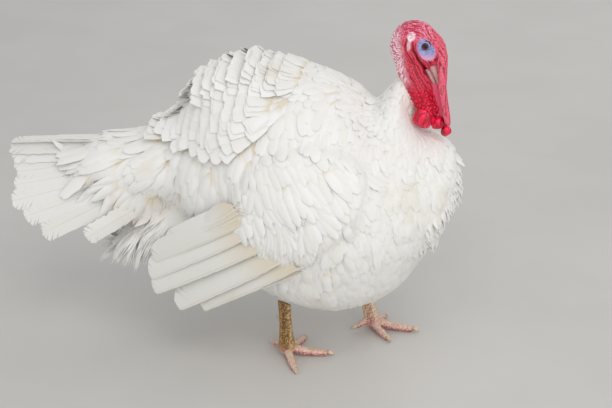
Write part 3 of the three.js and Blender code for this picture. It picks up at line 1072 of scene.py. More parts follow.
    def _tints(self, shell: Piece, local: Array, part: dict[str, Array], hollow: Array) -> None:
        """Stores the skin's colours: the main one, its flecks and its grooves.

        Args:
            shell: the head's shell.
            local: its vertices in the head's frame.
            part: how much each vertex belongs to each part.
            hollow: 0 in the grooves and 1 on the ridges.
        """
        mark = self._marks(local)
        plain = (1 - part["snood"]) * (1 - part["lobes"])
        top, nape, brow = mark["crown"] * plain, mark["nape"] * plain, mark["brow"] * plain
        ear = np.clip(mark["ear"] + mark["streak"], 0, 1) * plain
        patch = mark["patch"] * plain
        tint = layered(
            everywhere(colour(213, 32, 68), len(local)),
            (colour(252, 160, 182), top),
            (colour(244, 150, 168), brow),
            (colour(246, 226, 232), nape),
            (colour(236, 3, 64), mark["low"] * plain * (1 - 0.6 * nape)),
            (colour(246, 20, 76), part["lobes"]),
            (colour(242, 92, 124), part["dewlap"]),
            (colour(230, 78, 106), part["snood"]),
            (colour(166, 172, 212), patch),
            (colour(222, 170, 200), patch * mark["lilac"]),
            (colour(246, 236, 238), ear),
            (colour(166, 112, 116), mark["lid"]),
            (colour(96, 22, 34), mark["rim"]),
        )
        fleck = layered(
            tint,
            # pale pink flecks here and on the snood: partly the skin's mottling, partly painted highlight
            (colour(240, 140, 156), 0.32 * (1 - mark["low"]) * plain * (1 - patch) * (1 - ear)),
            (colour(204, 30, 76), 0.8 * top),
            (colour(236, 138, 154), part["snood"] * 0.6),
            (colour(112, 130, 192), patch * (1 - mark["lilac"])),
            (colour(96, 22, 34), mark["rim"]),
        )
        # the groove colours: partly the skin's own crimson and pink strokes, partly painted shade in the
        # folds, darkest in the cheek and snood
        groove = layered(
            tint * np.array([0.34, 0.09, 0.13]),
            (colour(184, 6, 60), top),
            (colour(168, 8, 52), brow),
            (colour(200, 56, 92), nape),
            (colour(118, 4, 34), part["snood"]),
            (colour(232, 186, 200), ear),
            (colour(104, 112, 166), patch),
        )
        store_tones(shell, tint, fleck, groove, hollow)
        gloss = 0.12 + 0.16 * part["lobes"] + 0.1 * mark["low"] + 0.12 * mark["crown"]
        store(shell, "gloss", Kind.NUMBER, gloss)

    def build(self, effects: Effects, solids: SolidMap) -> Piece:
        """Models the skin and dresses it.

        Args:
            effects: the shared node groups.
            solids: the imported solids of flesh.

        Returns:
            The skin.
        """
        head = self._head(solids)
        skin = self._body()
        count = len(skin.data.vertices)
        pale = everywhere(colour(232, 222, 206), count)
        store_tones(skin, pale, pale, pale, np.ones(count))
        store(skin, "gloss", Kind.NUMBER, np.zeros(count))
        applied(skin, "BOOLEAN", operation="UNION", solver="MANIFOLD", object=head)
        only(head)
        bpy.ops.object.delete()
        angle = math.radians(self.unwrap_angle)
        edited(skin, partial(bpy.ops.uv.smart_project, angle_limit=angle, island_margin=0.0))
        finished(skin, FleshFinish().make(effects), (*self.body_nodes, *self.head_nodes))
        return skin


# ---- plumage


@dataclass(frozen=True)
class Lie:
    """How the feathers lie at a place on the bird's right side: mm and degrees."""

    place: Point
    heading: Point
    length: float
    width: float
    lift: float
    cut: Cut


ROUND, SQUARE, SOFT, STREAK, SPIKE, FINE, WISP = Cut
LIES = (
    # the raised feathers along the middle of the back
    Lie((-150, -15, 480), (-0.95, -0.1, 0.0), 92, 30, 7, ROUND),
    Lie((-110, -15, 530), (-0.8, 0.0, 0.5), 64, 40, 30, SQUARE),
    Lie((-60, -15, 590), (-0.75, 0.0, 0.6), 70, 44, 38, SQUARE),
    Lie((0, -20, 632), (-0.85, 0.0, 0.5), 67, 44, 38, SQUARE),
    Lie((60, -25, 634), (-0.9, 0.0, 0.4), 60, 42, 34, SQUARE),
    Lie((120, -25, 619), (-0.97, 0.0, 0.2), 50, 38, 27, SQUARE),
    Lie((200, -30, 590), (-0.9, -0.4, 0.1), 52, 22, 4, ROUND),
    Lie((290, -30, 560), (-0.85, -0.4, 0.2), 40, 18, 4, ROUND),
    # the side of the back, hanging down
    Lie((6, -60, 605), (-0.9, 0.0, 0.4), 64, 44, 32, SQUARE),
    Lie((-54, -75, 545), (-0.9, 0.0, 0.4), 60, 42, 18, SQUARE),
    Lie((79, -105, 588), (-0.97, 0.0, 0.2), 56, 40, 19, SQUARE),
    Lie((0, -105, 555), (-0.95, 0.0, 0.25), 60, 42, 17, SQUARE),
    Lie((-6, -147, 467), (0.15, -0.45, -0.85), 84, 26, 5, SOFT),
    Lie((-87, -101, 463), (-0.3, -0.5, -0.75), 84, 26, 5, SOFT),
    Lie((150, -120, 580), (0.2, -0.7, -0.65), 70, 22, 4, ROUND),
    Lie((225, -75, 574), (0.1, -0.9, -0.4), 52, 20, 3, ROUND),
    # the cover of the tail
    Lie((-157, -75, 447), (-0.64, -0.46, -0.62), 104, 26, 3, SOFT),
    Lie((-200, -50, 455), (-0.95, -0.15, -0.1), 118, 27, 2, SOFT),
    Lie((-244, -63, 435), (-0.98, -0.05, -0.2), 124, 27, 1.5, SOFT),
    Lie((-244, -15, 455), (-1.0, 0.0, -0.05), 124, 27, 1.5, SOFT),
    Lie((-300, -60, 400), (-0.97, -0.1, -0.2), 118, 26, 1.5, SOFT),
    Lie((-330, -30, 410), (-1.0, 0.0, -0.05), 108, 25, 1.5, SOFT),
    Lie((-190, -80, 350), (-0.4, -0.35, -0.85), 100, 24, 11, SPIKE),
    Lie((-290, -70, 350), (-0.8, -0.2, -0.55), 100, 20, 8, SPIKE),
    Lie((-237, -80, 340), (-0.55, -0.3, -0.78), 105, 22, 10, SPIKE),
    # the vent and the flank behind the wing
    Lie((-169, -57, 294), (-0.4, -0.5, -0.75), 84, 24, 7, WISP),
    Lie((-230, -40, 215), (-0.8, -0.2, -0.55), 76, 22, 7, WISP),
    Lie((-150, -80, 250), (-0.4, -0.5, -0.75), 76, 22, 9, WISP),
    Lie((-79, -114, 328), (-0.22, 0.1, -0.9), 70, 22, 5, SOFT),
    Lie((-100, -60, 240), (-0.7, 0.0, -0.6), 56, 20, 9, SOFT),
    # the shoulder, running forward and down
    Lie((137, -172, 500), (0.37, -0.7, -0.5), 88, 21, 4.5, ROUND),
    Lie((92, -193, 463), (0.42, -0.31, -0.83), 90, 21, 4.5, ROUND),
    Lie((207, -190, 481), (0.6, -0.23, -0.75), 78, 20, 5, ROUND),
    Lie((261, -171, 487), (0.66, -0.18, -0.7), 62, 19, 5, ROUND),
    Lie((172, -209, 435), (0.6, -0.21, -0.76), 84, 22, 5, ROUND),
    Lie((60, -196, 430), (0.3, -0.2, -0.9), 86, 24, 4.5, ROUND),
    # the long soft coverts of the folded wing
    Lie((80, -205, 375), (-0.15, -0.1, -0.98), 92, 15, 2, STREAK),
    Lie((134, -213, 380), (0.02, -0.11, -0.99), 92, 15, 2, STREAK),
    Lie((203, -220, 345), (0.04, -0.08, -0.99), 88, 15, 2, STREAK),
    Lie((150, -215, 315), (-0.1, -0.05, -0.99), 84, 15, 2, STREAK),
    Lie((60, -200, 320), (-0.4, -0.1, -0.9), 84, 16, 2, STREAK),
    # the breast and belly
    Lie((344, -77, 526), (0.23, -0.47, -0.85), 42, 17, 4, ROUND),
    Lie((407, -96, 434), (0.37, -0.34, -0.87), 50, 19, 5.5, SOFT),
    Lie((446, -61, 346), (0.2, 0.1, -0.97), 46, 18, 6, SPIKE),
    Lie((466, 0, 366), (0.15, 0.0, -0.99), 42, 18, 7, SPIKE),
    Lie((357, -153, 372), (0.25, -0.07, -0.96), 54, 20, 6, SOFT),
    Lie((286, -191, 341), (0.08, 0.07, -0.99), 56, 21, 6, SOFT),
    Lie((303, -163, 242), (0.05, 0.47, -0.88), 54, 22, 7, SOFT),
    Lie((226, -174, 218), (-0.02, 0.45, -0.89), 54, 22, 7, SOFT),
    Lie((169, -193, 267), (-0.09, 0.27, -0.96), 58, 22, 6, SOFT),
    Lie((390, -60, 230), (-0.1, 0.1, -0.95), 46, 21, 9, SOFT),
    Lie((250, -60, 100), (-0.8, 0.1, -0.3), 44, 22, 8, SOFT),
    Lie((100, -80, 120), (-0.9, 0.0, -0.2), 44, 22, 8, SOFT),
    Lie((0, -60, 180), (-0.95, 0.0, 0.0), 48, 22, 8, SOFT),
    # the thighs
    Lie((110, -90, 190), (0.05, 0.0, -0.99), 34, 14, 6, SOFT),
    Lie((220, -85, 180), (0.1, 0.0, -0.99), 34, 14, 6, SOFT),
    # the neck
    Lie((340, -25, 605), (0.1, -0.2, -0.97), 18, 8, 10, FINE),
    Lie((332, -55, 560), (0.1, -0.4, -0.9), 26, 12, 8, FINE),
    Lie((296, -20, 572), (-0.6, -0.1, -0.75), 30, 13, 7, FINE),
)


class PlumageMap:
    """The lie of the plumage anywhere on the bird, from LIES and their mirror images."""

    reach = 22.0
    least_raised = 12.0
    most_calm = 4.5

    def __init__(self) -> None:
        """Gathers both sides' places."""
        both = [(lie, flip) for lie in LIES for flip in (np.ones(3), np.array([1, -1, 1]))]
        self.places = np.array([np.array(lie.place) * flip for lie, flip in both])
        self.headings = np.array([np.array(lie.heading) * flip for lie, flip in both])
        self.sizes = np.array([(lie.length, lie.width, lie.lift) for lie, _ in both], float)
        self.cuts = np.array([lie.cut.value for lie, _ in both])

    def at(self, points: Array) -> tuple[Array, Array, Array]:
        """The lie at places in metres.

        Args:
            points: the places.

        Returns:
            The headings, the sizes (length, width and lift) and the cuts' numbers.
        """
        gaps = np.linalg.norm(points[:, None] / MM - self.places[None], axis=2)
        share = 1 / (gaps**2 + self.reach**2) ** 2
        share /= share.sum(1, keepdims=True)
        sizes, cuts = share @ self.sizes, self.cuts[gaps.argmin(1)]
        low = among(cuts, Cut.SQUARE) & (sizes[:, 2] < self.least_raised)
        cuts = np.where(low, Cut.SOFT.value, cuts)
        loose = among(cuts, Cut.SQUARE, Cut.SPIKE, Cut.WISP)
        sizes[:, 2] = np.where(loose, sizes[:, 2], np.minimum(sizes[:, 2], self.most_calm))
        return unit(share @ self.headings), sizes, cuts


BACK_LINE = ((-178, 462), (-120, 516), (-60, 598), (0, 635), (60, 636), (120, 621), (180, 601))


@dataclass(frozen=True)
class VaneShape:
    """The outline of a body feather: half widths along it, and its last row of points."""

    widths: tuple[float, ...]
    row_across: tuple[float, ...]
    row_along: tuple[float, ...]
    ragged: float
    camber: float = 0.2


VANES = {
    Cut.ROUND: VaneShape(
        (0.14, 0.6, 0.9, 1.0, 0.98, 0.8), (-0.5, -0.28, 0, 0.28, 0.5),
        (0.955, 0.99, 1.0, 0.99, 0.955), 0.012,
    ),
    Cut.SQUARE: VaneShape(
        (0.14, 0.5, 0.78, 0.92, 1.0, 1.0), (-0.9, -0.5, 0, 0.5, 0.9),
        (0.96, 0.99, 1.01, 0.98, 0.96), 0.025, 0.06,
    ),
    Cut.SOFT: VaneShape(
        (0.16, 0.6, 0.88, 1.0, 0.95, 0.78), (-0.55, -0.3, 0, 0.3, 0.55),
        (0.95, 1.0, 0.97, 1.02, 0.94), 0.035,
    ),
    Cut.STREAK: VaneShape(
        (0.2, 0.7, 0.95, 1.0, 0.95, 0.8), (-0.4, -0.2, 0, 0.2, 0.4),
        (0.96, 0.99, 1.0, 0.99, 0.96), 0.02, 0.45,
    ),
    Cut.SPIKE: VaneShape(
        (0.16, 0.65, 0.95, 0.9, 0.7, 0.42), (-0.12, -0.06, 0, 0.06, 0.12),
        (0.97, 0.99, 1.03, 0.99, 0.97), 0.03, 0.45,
    ),
    Cut.FINE: VaneShape(
        (0.3, 0.9, 1.0, 0.85), (-0.5, -0.28, 0, 0.28, 0.5),
        (0.95, 0.99, 1.0, 0.99, 0.95), 0.02,
    ),
}


@dataclass
class Template:
    """A feather to copy: where its points are along, across and above its spine, and its faces."""

    along: Array
    across: Array
    above: Array
    quads: Array
    triangles: Array

    @staticmethod
    def vane(shape: VaneShape, rng: Rng) -> "Template":
        """A closed thin vane, ridged along its shaft.

        Args:
            shape: its outline.
            rng: the source of its raggedness.

        Returns:
            The template.
        """
        count = len(shape.widths)
        stations = np.linspace(0, 0.86, count) ** 0.85
        along, across, above = [], [], []
        for j, (u, half) in enumerate(zip(stations, shape.widths)):
            left, right = half * (1 + shape.ragged * 3 * rng.uniform(-1, 1, 2))
            places = np.array([-left, -0.55 * left, 0, 0.55 * right, right])
            shift = shape.ragged * rng.uniform(-1, 1, 5) * (j > 1)
            along += [*(u + shift), u]
            across += [*places, 0]
            above += [*(-shape.camber * places**2), 0]
        row = np.array(shape.row_across) * (1 + shape.ragged * rng.uniform(-1, 1, 5))
        ends = np.maximum(np.array(shape.row_along) + shape.ragged * 1.6 * rng.uniform(-1, 1, 5), 0.935)
        along += [*ends, ends.mean() - 0.01]
        across += [*row, 0]
        above += [*(-shape.camber * row**2), 0]
        above_all = np.array(above)
        centre, under = np.arange(count + 1) * 6 + 2, np.arange(count + 1) * 6 + 5
        above_all[centre] += 0.035
        above_all[under] -= 0.05
        first = np.arange(count)[:, None] * 6
        k = np.arange(6)[None]
        nxt = (k + 1) % 6
        quads = np.stack([first + k, first + nxt, first + 6 + nxt, first + 6 + k], axis=2).reshape(-1, 4)
        fan = np.arange(4)
        last = count * 6
        root = np.stack([np.full(4, 5), fan + 1, fan], axis=1)
        tip = np.stack([np.full(4, last + 5), last + fan, last + fan + 1], axis=1)
        return Template(np.array(along), np.array(across), above_all, quads, np.concatenate([root, tip]))

    @staticmethod
    def wisps(count: int, rng: Rng) -> "Template":
        """A tuft of narrow closed barbs that spread from one root.

        Args:
            count: how many barbs.
            rng: the source of their spread.

        Returns:
            The template.
        """
        along, across, above, quads, triangles = [], [], [], [], []
        stations = np.array([0.0, 0.35, 0.7])
        for lock in range(count):
            spread = (lock - (count - 1) / 2) / max(1, count - 1) * 2 + rng.uniform(-0.15, 0.15)
            reach = rng.uniform(0.75, 1.05)
            bend, rise = rng.uniform(-0.4, 0.4), rng.uniform(-0.15, 0.15)
            first = len(along)
            for u, half in zip(stations, (0.16, 0.26, 0.16)):
                middle = spread * u * (0.7 + bend * u)
                along += [u * reach] * 3
                across += [middle - half, middle + half, middle]
                above += [rise * u, rise * u, rise * u + 0.1]
            along.append(reach)
            across.append(spread * (0.7 + bend))
            above.append(rise)
            for j in (0, 3):
                for k in range(3):
                    nxt = (k + 1) % 3
                    quads.append([first + j + nxt, first + j + k, first + j + 3 + k, first + j + 3 + nxt])
            triangles.append([first, first + 1, first + 2])
            triangles += [[first + 6 + (k + 1) % 3, first + 6 + k, first + 9] for k in range(3)]
        return Template(*(np.array(values) for values in (along, across, above, quads, triangles)))


@dataclass
class Roots:
    """Where feathers grow and how each one lies."""

    points: Array
    normals: Array
    headings: Array
    sizes: Array
    cuts: Array
    faces: Array
    owners: Array

    def picked(self, mask: Array) -> "Roots":
        """Those that the mask picks."""
        return Roots(*(getattr(self, name)[mask] for name in self.__dataclass_fields__))


class Ground:
    """The skin as feathers meet it: nearest places, random places and its unwrap."""

    least_gloss = 0.05

    def __init__(self, skin: Piece) -> None:
        """Reads the finished skin.

        Args:
            skin: the skin.
        """
        mesh = skin.data
        self.points = points_of(skin)
        mesh.calc_loop_triangles()
        self.triangles = values_of(mesh.loop_triangles, "vertices", 3, np.int32)
        self.loops = values_of(mesh.loop_triangles, "loops", 3, np.int32)
        self.unwrap = values_of(mesh.uv_layers.active.data, "uv", 2)
        gloss = values_of(mesh.attributes["gloss"].data, "value")[:, 0]
        self.naked = (gloss[self.triangles] > self.least_gloss).any(1)
        self.rest = BVHTree.FromPolygons(self.points.tolist(), self.triangles[~self.naked].tolist())
        self.tree = BVHTree.FromPolygons(self.points.tolist(), self.triangles.tolist())

    @staticmethod
    def nearest(tree: BVHTree, points: Array) -> tuple[Array, Array, Array]:
        """The nearest places on a tree of triangles.

        Args:
            tree: the tree.
            points: where to look from.

        Returns:
            The places, their normals and their triangles' numbers.
        """
        found = [tree.find_nearest(Vector(p)) for p in points]
        places = np.array([f[0][:] for f in found])
        normals = np.array([f[1][:] for f in found])
        return places, normals, np.array([f[2] for f in found])

    def scattered(self, count: int, rng: Rng) -> tuple[Array, Array, Array]:
        """Random places spread evenly over the skin.

        Args:
            count: how many.
            rng: the source of chance.

        Returns:
            The places, their normals and their triangles' numbers.
        """
        a, b, c = (self.points[self.triangles[:, k]] for k in range(3))
        normal = np.cross(b - a, c - a)
        area = np.linalg.norm(normal, axis=1)
        chosen = np.sort(rng.choice(len(area), count, p=area / area.sum()))
        r, s = np.sqrt(rng.random(count)), rng.random(count)
        share = np.stack([1 - r, r * (1 - s), r * s], axis=1)
        places = sum(share[:, k, None] * v[chosen] for k, v in enumerate((a, b, c)))
        return places, unit(normal[chosen]), chosen

    def patch(self, points: Array, faces: Array) -> Array:
        """Where places lie on the skin's unwrap.

        Args:
            points: the places.
            faces: their triangles' numbers.

        Returns:
            Their coordinates on the unwrap.
        """
        near = np.linalg.norm(self.points[self.triangles[faces]] - points[:, None], axis=2)
        share = 1 / (near + 1e-5)
        share /= share.sum(1, keepdims=True)
        return (self.unwrap[self.loops[faces]] * share[:, :, None]).sum(1)


@dataclass
class Plumage:
    """The body's feathers: closed thin vanes in overlapping rows, in one piece for each part of the bird."""

    ground: Ground
    solids: SolidMap
    effects: Effects
    candidates: int = 130_000
    closeness: float = 0.34
    most_stretch: float = 1.9
    row: float = 24.0
    row_closeness: float = 0.17
    droop: float = 0.38
    root_depth: float = 2.5
    steps: int = 7
    give: float = 0.35
    loose_height: float = 7.0
    stray_height: float = 10.0
    calm_lift: float = 10.0
    held_heading: float = -0.6
    least_facing: float = 0.6
    least_over: float = 0.2
    follow: float = 0.55
    fluff_give: float = 0.04
    trailing_give: float = 0.14
    raised_looseness: float = 0.2
    roll: float = 0.04
    roll_by_lift: float = 0.003
    reach_past: float = 1.06
    wisp_barbs: int = 5
    wisp_unshaded: float = 0.45
    owner_height: float = 8.0
    crease: float = 48.0
    triangles_each: int = 92
    variants: int = 5
    parts: dict[str, tuple[str, ...]] = field(
        default_factory=lambda: {
            "coat_neck": ("neck",),
            "coat_breast": ("breast",),
            "coat_back": ("back",),
            "coat_wing_right": ("wing_right",),
            "coat_wing_left": ("wing_left",),
            "coat_tail": ("tail_coverts",),
            "coat_vent": ("vent",),
            "coat_thighs": ("thigh_right", "thigh_left"),
        }
    )

    def _in_rows(self, points: Array, rng: Rng) -> Array:
        """Draws places on the back into rows that run across it, from flank to flank over the ridge.

        Args:
            points: the places.
            rng: the source of chance.

        Returns:
            The places in their rows.
        """
        ridge, top = np.array(BACK_LINE).T * MM
        gone = np.concatenate([[0], np.cumsum(np.hypot(np.diff(ridge), np.diff(top)))])
        step = self.row * MM
        run = np.interp(points[:, 0], ridge, gone)
        x = np.interp((np.round(run / step) + rng.normal(0, 0.07, len(points))) * step, gone, ridge)
        rise = np.interp(x, ridge, top) - np.interp(points[:, 0], ridge, top)
        return np.stack([x, points[:, 1], points[:, 2] + rise], axis=1)

    def _roots(self, rng: Rng) -> Roots:
        """Chooses where feathers grow, no two closer than their size allows.

        Args:
            rng: the source of chance.

        Returns:
            The feathers' roots.
        """
        points, normals, faces = self.ground.scattered(self.candidates, rng)
        owners = self.solids.owners(points + normals * self.owner_height * MM)
        coated = self.solids.within(owners, [n for nodes in self.parts.values() for n in nodes])
        order = rng.permutation(np.flatnonzero(coated & ~self.ground.naked[faces]))
        points, normals, faces, owners = points[order], normals[order], faces[order], owners[order]
        lie = PlumageMap()
        headings, sizes, cuts = lie.at(points)
        raised = np.flatnonzero(among(cuts, Cut.SQUARE) & (headings[:, 0] < -0.5))
        moved = self._in_rows(points[raised], rng)
        points[raised], normals[raised], faces[raised] = self.ground.nearest(self.ground.tree, moved)
        headings, sizes, cuts = lie.at(points)
        headings = unit(headings - normals * (headings * normals).sum(1, keepdims=True))
        calm = ~among(cuts, Cut.SQUARE) * 1.0
        sway = 0.45 * drift(points / MM, 46.0) + 0.3 * drift(points / MM + 90, 20.0)
        headings = unit(headings + np.cross(normals, headings) * (calm * sway)[:, None])
        sizes[:, 2] *= 1 + calm * np.clip(1.5 * drift(points / MM + 40, 34.0), -0.6, 1.0)
        close = np.where(among(cuts, Cut.SQUARE), self.row_closeness, self.closeness)
        spacing = sizes[:, 1] * close * MM
        stretch = np.clip(sizes[:, 0] / sizes[:, 1] * 0.55, 1, self.most_stretch)
        squeeze = 1 - 1 / stretch**2
        kept = self._thinned(points, headings, spacing, squeeze, float((spacing * stretch).max()))
        return Roots(points, normals, headings, sizes, cuts, faces, owners).picked(kept)

    @staticmethod
    def _thinned(points: Array, headings: Array, spacing: Array, squeeze: Array, cell: float) -> Array:
        """Picks places one after another that aren't too close to any picked before.

        Args:
            points: the places.
            headings: how the feathers lie there.
            spacing: how close across its heading each may come to another.
            squeeze: how much nearer others count along the heading than across it.
            cell: the width of the grid that sorts the places.

        Returns:
            The numbers of the places picked.
        """
        grid: dict[tuple[int, int, int], list[int]] = {}
        keys = np.floor(points / cell).astype(int)
        kept = []
        around = [(i, j, k) for i in (-1, 0, 1) for j in (-1, 0, 1) for k in (-1, 0, 1)]
        for n, (key, gap) in enumerate(zip(map(tuple, keys.tolist()), spacing)):
            near = [m for i, j, k in around for m in grid.get((key[0] + i, key[1] + j, key[2] + k), ())]
            if near:
                away = points[near] - points[n]
                if ((away**2).sum(1) - squeeze[n] * (away @ headings[n]) ** 2 < gap * gap).any():
                    continue
            grid.setdefault(key, []).append(n)
            kept.append(n)
        return np.array(kept)

    def _spines(self, roots: Roots, rng: Rng) -> tuple[Array, Array, Array, Array]:
        """Grows each feather's spine over the skin.

        Args:
            roots: where the feathers grow.
            rng: the source of chance.

        Returns:
            The spines' points, the directions across and above them, each (feathers, steps + 1, 3), and
            which feathers stand off the body at their ends.
        """
        count = len(roots.points)
        normal = roots.normals
        loose = np.where(among(roots.cuts, Cut.SQUARE), self.raised_looseness, 1.0)
        length = roots.sizes[:, 0] * MM * (1 + loose * rng.uniform(-0.12, 0.1, count))
        lift = np.radians(roots.sizes[:, 2] * (1 + loose * rng.uniform(-0.25, 0.25, count)))
        aside = np.cross(normal, roots.headings)
        heading = unit(roots.headings + aside * (loose * rng.normal(0, 0.08, count))[:, None])
        direction = unit(heading * np.cos(lift)[:, None] + normal * np.sin(lift)[:, None])
        here = roots.points - normal * self.root_depth * MM
        step = length / self.steps
        spine, up = [here], [normal]
        droop = self.droop * (roots.sizes[:, 2] < self.calm_lift)
        held = roots.headings[:, 0] > self.held_heading
        fluffy = among(roots.cuts, Cut.SPIKE, Cut.WISP)
        give = np.select([fluffy, ~held], [self.fluff_give, self.trailing_give], self.give)
        for k in range(1, self.steps + 1):
            reach = here + direction * step[:, None]
            place, facing, _ = self.ground.nearest(self.ground.rest, reach)
            height = ((reach - place) * facing).sum(1)
            share = k / self.steps
            wanted = length * np.sin(lift) * share * (1 - droop * share**2)
            wanted -= self.root_depth * MM * (1 - share) ** 3
            near = (facing * direction).sum(1) < self.least_facing
            near |= (height < self.loose_height * MM) & held
            over = ((facing * normal).sum(1) > self.least_over) & near
            push = np.where(over, np.maximum(wanted - height, -give * step), 0)
            direction = unit(reach + facing * push[:, None] - here)
            here = here + direction * step[:, None]
            leaning = unit((1 - self.follow) * normal + self.follow * facing)
            normal = np.where(over[:, None], leaning, normal)
            spine.append(here)
            up.append(normal)
        off = np.linalg.norm(here - self.ground.nearest(self.ground.rest, here)[0], axis=1)
        stray = (off > self.stray_height * MM) & (roots.sizes[:, 2] < self.calm_lift) & held & ~fluffy
        line, above = np.stack(spine, 1), np.stack(up, 1)
        tangent = unit(np.gradient(line, axis=1))
        across = unit(np.cross(tangent, above))
        above = np.cross(across, tangent)
        most = self.roll + self.roll_by_lift * roots.sizes[:, 2]
        roll = (rng.normal(0, 1, count) * loose * most)[:, None, None]
        c, s = np.cos(roll), np.sin(roll)
        return line, across * c + above * s, above * c - across * s, stray

    def _meshed(self, roots: Roots, rng: Rng) -> dict[str, Array]:
        """Copies templates along the spines of feathers.

        Args:
            roots: the feathers' roots.
            rng: the source of chance.

        Returns:
            The points, faces, vane values and places on the unwrap.
        """
        line, across, above, stray = self._spines(roots, rng)
        patches = self.ground.patch(roots.points, roots.faces)
        out: dict[str, list[Array]] = {k: [] for k in ("points", "quads", "triangles", "vane", "patch")}
        done = 0
        for cut in Cut:
            for variant in range(self.variants):
                turn = np.arange(len(roots.cuts)) % self.variants == variant
                mine = np.flatnonzero(among(roots.cuts, cut) & turn & ~stray)
                wispy = cut is Cut.WISP
                shape = Template.wisps(self.wisp_barbs, rng) if wispy else Template.vane(VANES[cut], rng)
                if not len(mine):
                    continue
                run = np.clip(shape.along, 0, self.reach_past) * self.steps
                low = np.minimum(run.astype(int), self.steps - 1)
                part = (run - low)[None, :, None]
                half = roots.sizes[mine, 1] / 2 * MM * rng.uniform(0.88, 1.12, len(mine))
                half = half[:, None, None]
                spine, aside, up = (
                    v[mine][:, low] * (1 - part) + v[mine][:, low + 1] * part for v in (line, across, above)
                )
                points = spine + aside * half * shape.across[None, :, None]
                points += up * half * shape.above[None, :, None]
                size = len(shape.along)
                first = done + np.arange(len(mine))[:, None, None] * size
                chance = np.repeat(rng.random(len(mine)), size)
                # wisps start part way along the painted root shade, so they stay paler
                unshaded_start = self.wisp_unshaded if wispy else 0
                shade = np.tile(unshaded_start + (1 - unshaded_start) * shape.along, len(mine))
                vane = np.stack([shade, np.tile(shape.across, len(mine)), chance], axis=1)
                within = np.stack([shape.across / 2, shape.along - 0.5], axis=1) * TUFT_PATCH
                out["points"].append(points.reshape(-1, 3))
                out["quads"].append((first + shape.quads[None]).reshape(-1, 4))
                out["triangles"].append((first + shape.triangles[None]).reshape(-1, 3))
                out["vane"].append(vane)
                out["patch"].append((patches[mine][:, None] + within[None]).reshape(-1, 2))
                done += len(mine) * size
        return {key: np.concatenate(value) for key, value in out.items()}

    def _piece(self, name: str, roots: Roots, finish: Material, rng: Rng) -> None:
        """Makes one piece of the coat.

        Args:
            name: its name.
            roots: its feathers.
            finish: its material.
            rng: the source of chance.
        """
        data = self._meshed(roots, rng)
        piece = mesh_piece(name, data["points"], (data["quads"], data["triangles"]))
        store(piece, "vane", Kind.VECTOR, data["vane"])
        corners = values_of(piece.data.loops, "vertex_index", kind=np.int32)[:, 0]
        layer = piece.data.uv_layers.new(name="OFBake")
        layer.data.foreach_set("uv", data["patch"][corners].astype(np.float32).ravel())
        finished(piece, finish, crease=self.crease)

    def build(self) -> None:
        """Grows the whole coat, a piece at a time."""
        rng = np.random.default_rng(SEED)
        roots = self._roots(rng)
        LOG.info("%d body feathers", len(roots.points))
        finish = FeatherFinish("plumage").make(self.effects)
        for name, nodes in self.parts.items():
            mine = roots.picked(self.solids.within(roots.owners, nodes))
            pieces = 1 + len(mine.points) * self.triangles_each // PIECE_LIMIT
            share = np.arange(len(mine.points)) % pieces
            for number in range(pieces):
                title = name if pieces == 1 else f"{name}_{number + 1}"
                self._piece(title, mine.picked(share == number), finish, rng)


# ---- quills


@dataclass
class MeshParts:
    """Closed shapes gathered into one mesh."""

    points: list[Array] = field(default_factory=list)
    faces: list[Array] = field(default_factory=list)
    vane: list[Array] = field(default_factory=list)
    size: int = 0
    crease: float = 35.0

    def take(self, points: Array, faces: Array, vane: Array) -> None:
        """Adds a shape.

        Args:
            points: its points.
            faces: its four-cornered faces.
            vane: its vane values.
        """
        self.points.append(points)
        self.faces.append(faces + self.size)
        self.vane.append(vane)
        self.size += len(points)

    def slab(self, grid: Array, normal: Array, thick: float, vane: Array) -> None:
        """Adds a thin closed sheet.

        Args:
            grid: rows of points through its middle, (rows, columns, 3).
            normal: the direction out of its upper side at each point.
            thick: its thickness.
            vane: the vane values at each point.
        """
        rows, columns = grid.shape[:2]
        count = rows * columns
        top, low = grid + normal * thick / 2, grid - normal * thick / 2
        number = np.arange(count).reshape(rows, columns)
        a, b, c, d = number[:-1, :-1], number[:-1, 1:], number[1:, 1:], number[1:, :-1]
        upper = np.stack([a, b, c, d], axis=-1).reshape(-1, 4)
        rim = np.concatenate([number[0, :-1], number[:-1, -1], number[-1, :0:-1], number[:0:-1, 0]])
        nxt = np.roll(rim, -1)
        wall = np.stack([rim, rim + count, nxt + count, nxt], axis=-1)
        faces = np.concatenate([upper, upper[:, ::-1] + count, wall])
        self.take(np.concatenate([top, low]).reshape(-1, 3), faces, np.tile(vane.reshape(-1, 3), (2, 1)))

    def tube(self, line: Array, above: Array, radii: Array, vane: Array, sides: int = 6) -> None:
        """Adds a closed tapering tube.

        Args:
            line: the points of its centre line.
            above: a direction square to it at each point.
            radii: its radius at each point.
            vane: the vane values at each point.
            sides: how many sides it has.
        """
        tangent = unit(np.gradient(line, axis=0))
        aside = np.cross(tangent, above)
        turn = np.linspace(0, 2 * math.pi, sides, endpoint=False)
        ring = aside[:, None] * np.cos(turn)[None, :, None] + above[:, None] * np.sin(turn)[None, :, None]
        points = line[:, None] + ring * radii[:, None, None]
        count = len(line)
        number = np.arange(count * sides).reshape(count, sides)
        nxt = np.roll(number, -1, axis=1)
        walls = np.stack([number[:-1], number[1:], nxt[1:], nxt[:-1]], axis=-1).reshape(-1, 4)
        half = sides // 2
        caps = []
        for ring_number, order in ((0, 1), (-1, -1)):
            r = number[ring_number]
            for k in range(half - 1):
                caps.append([r[k], r[k + 1], r[sides - 2 - k], r[sides - 1 - k]][::order])
        faces = np.concatenate([walls, np.array(caps)])
        self.take(points.reshape(-1, 3), faces, np.repeat(vane, sides, axis=0))

    def piece(self, name: str, finish: Material, slot: str, nodes: Sequence[str]) -> None:
        """Makes the piece from all that was gathered.

        Args:
            name: its name.
            finish: its material.
            slot: not used.
            nodes: the solids that it stands for.
        """
        made = mesh_piece(name, np.concatenate(self.points), (np.concatenate(self.faces),))
        store(made, "vane", Kind.VECTOR, np.concatenate(self.vane))
        edited(made, face_out)
        finished(made, finish, nodes, crease=self.crease)


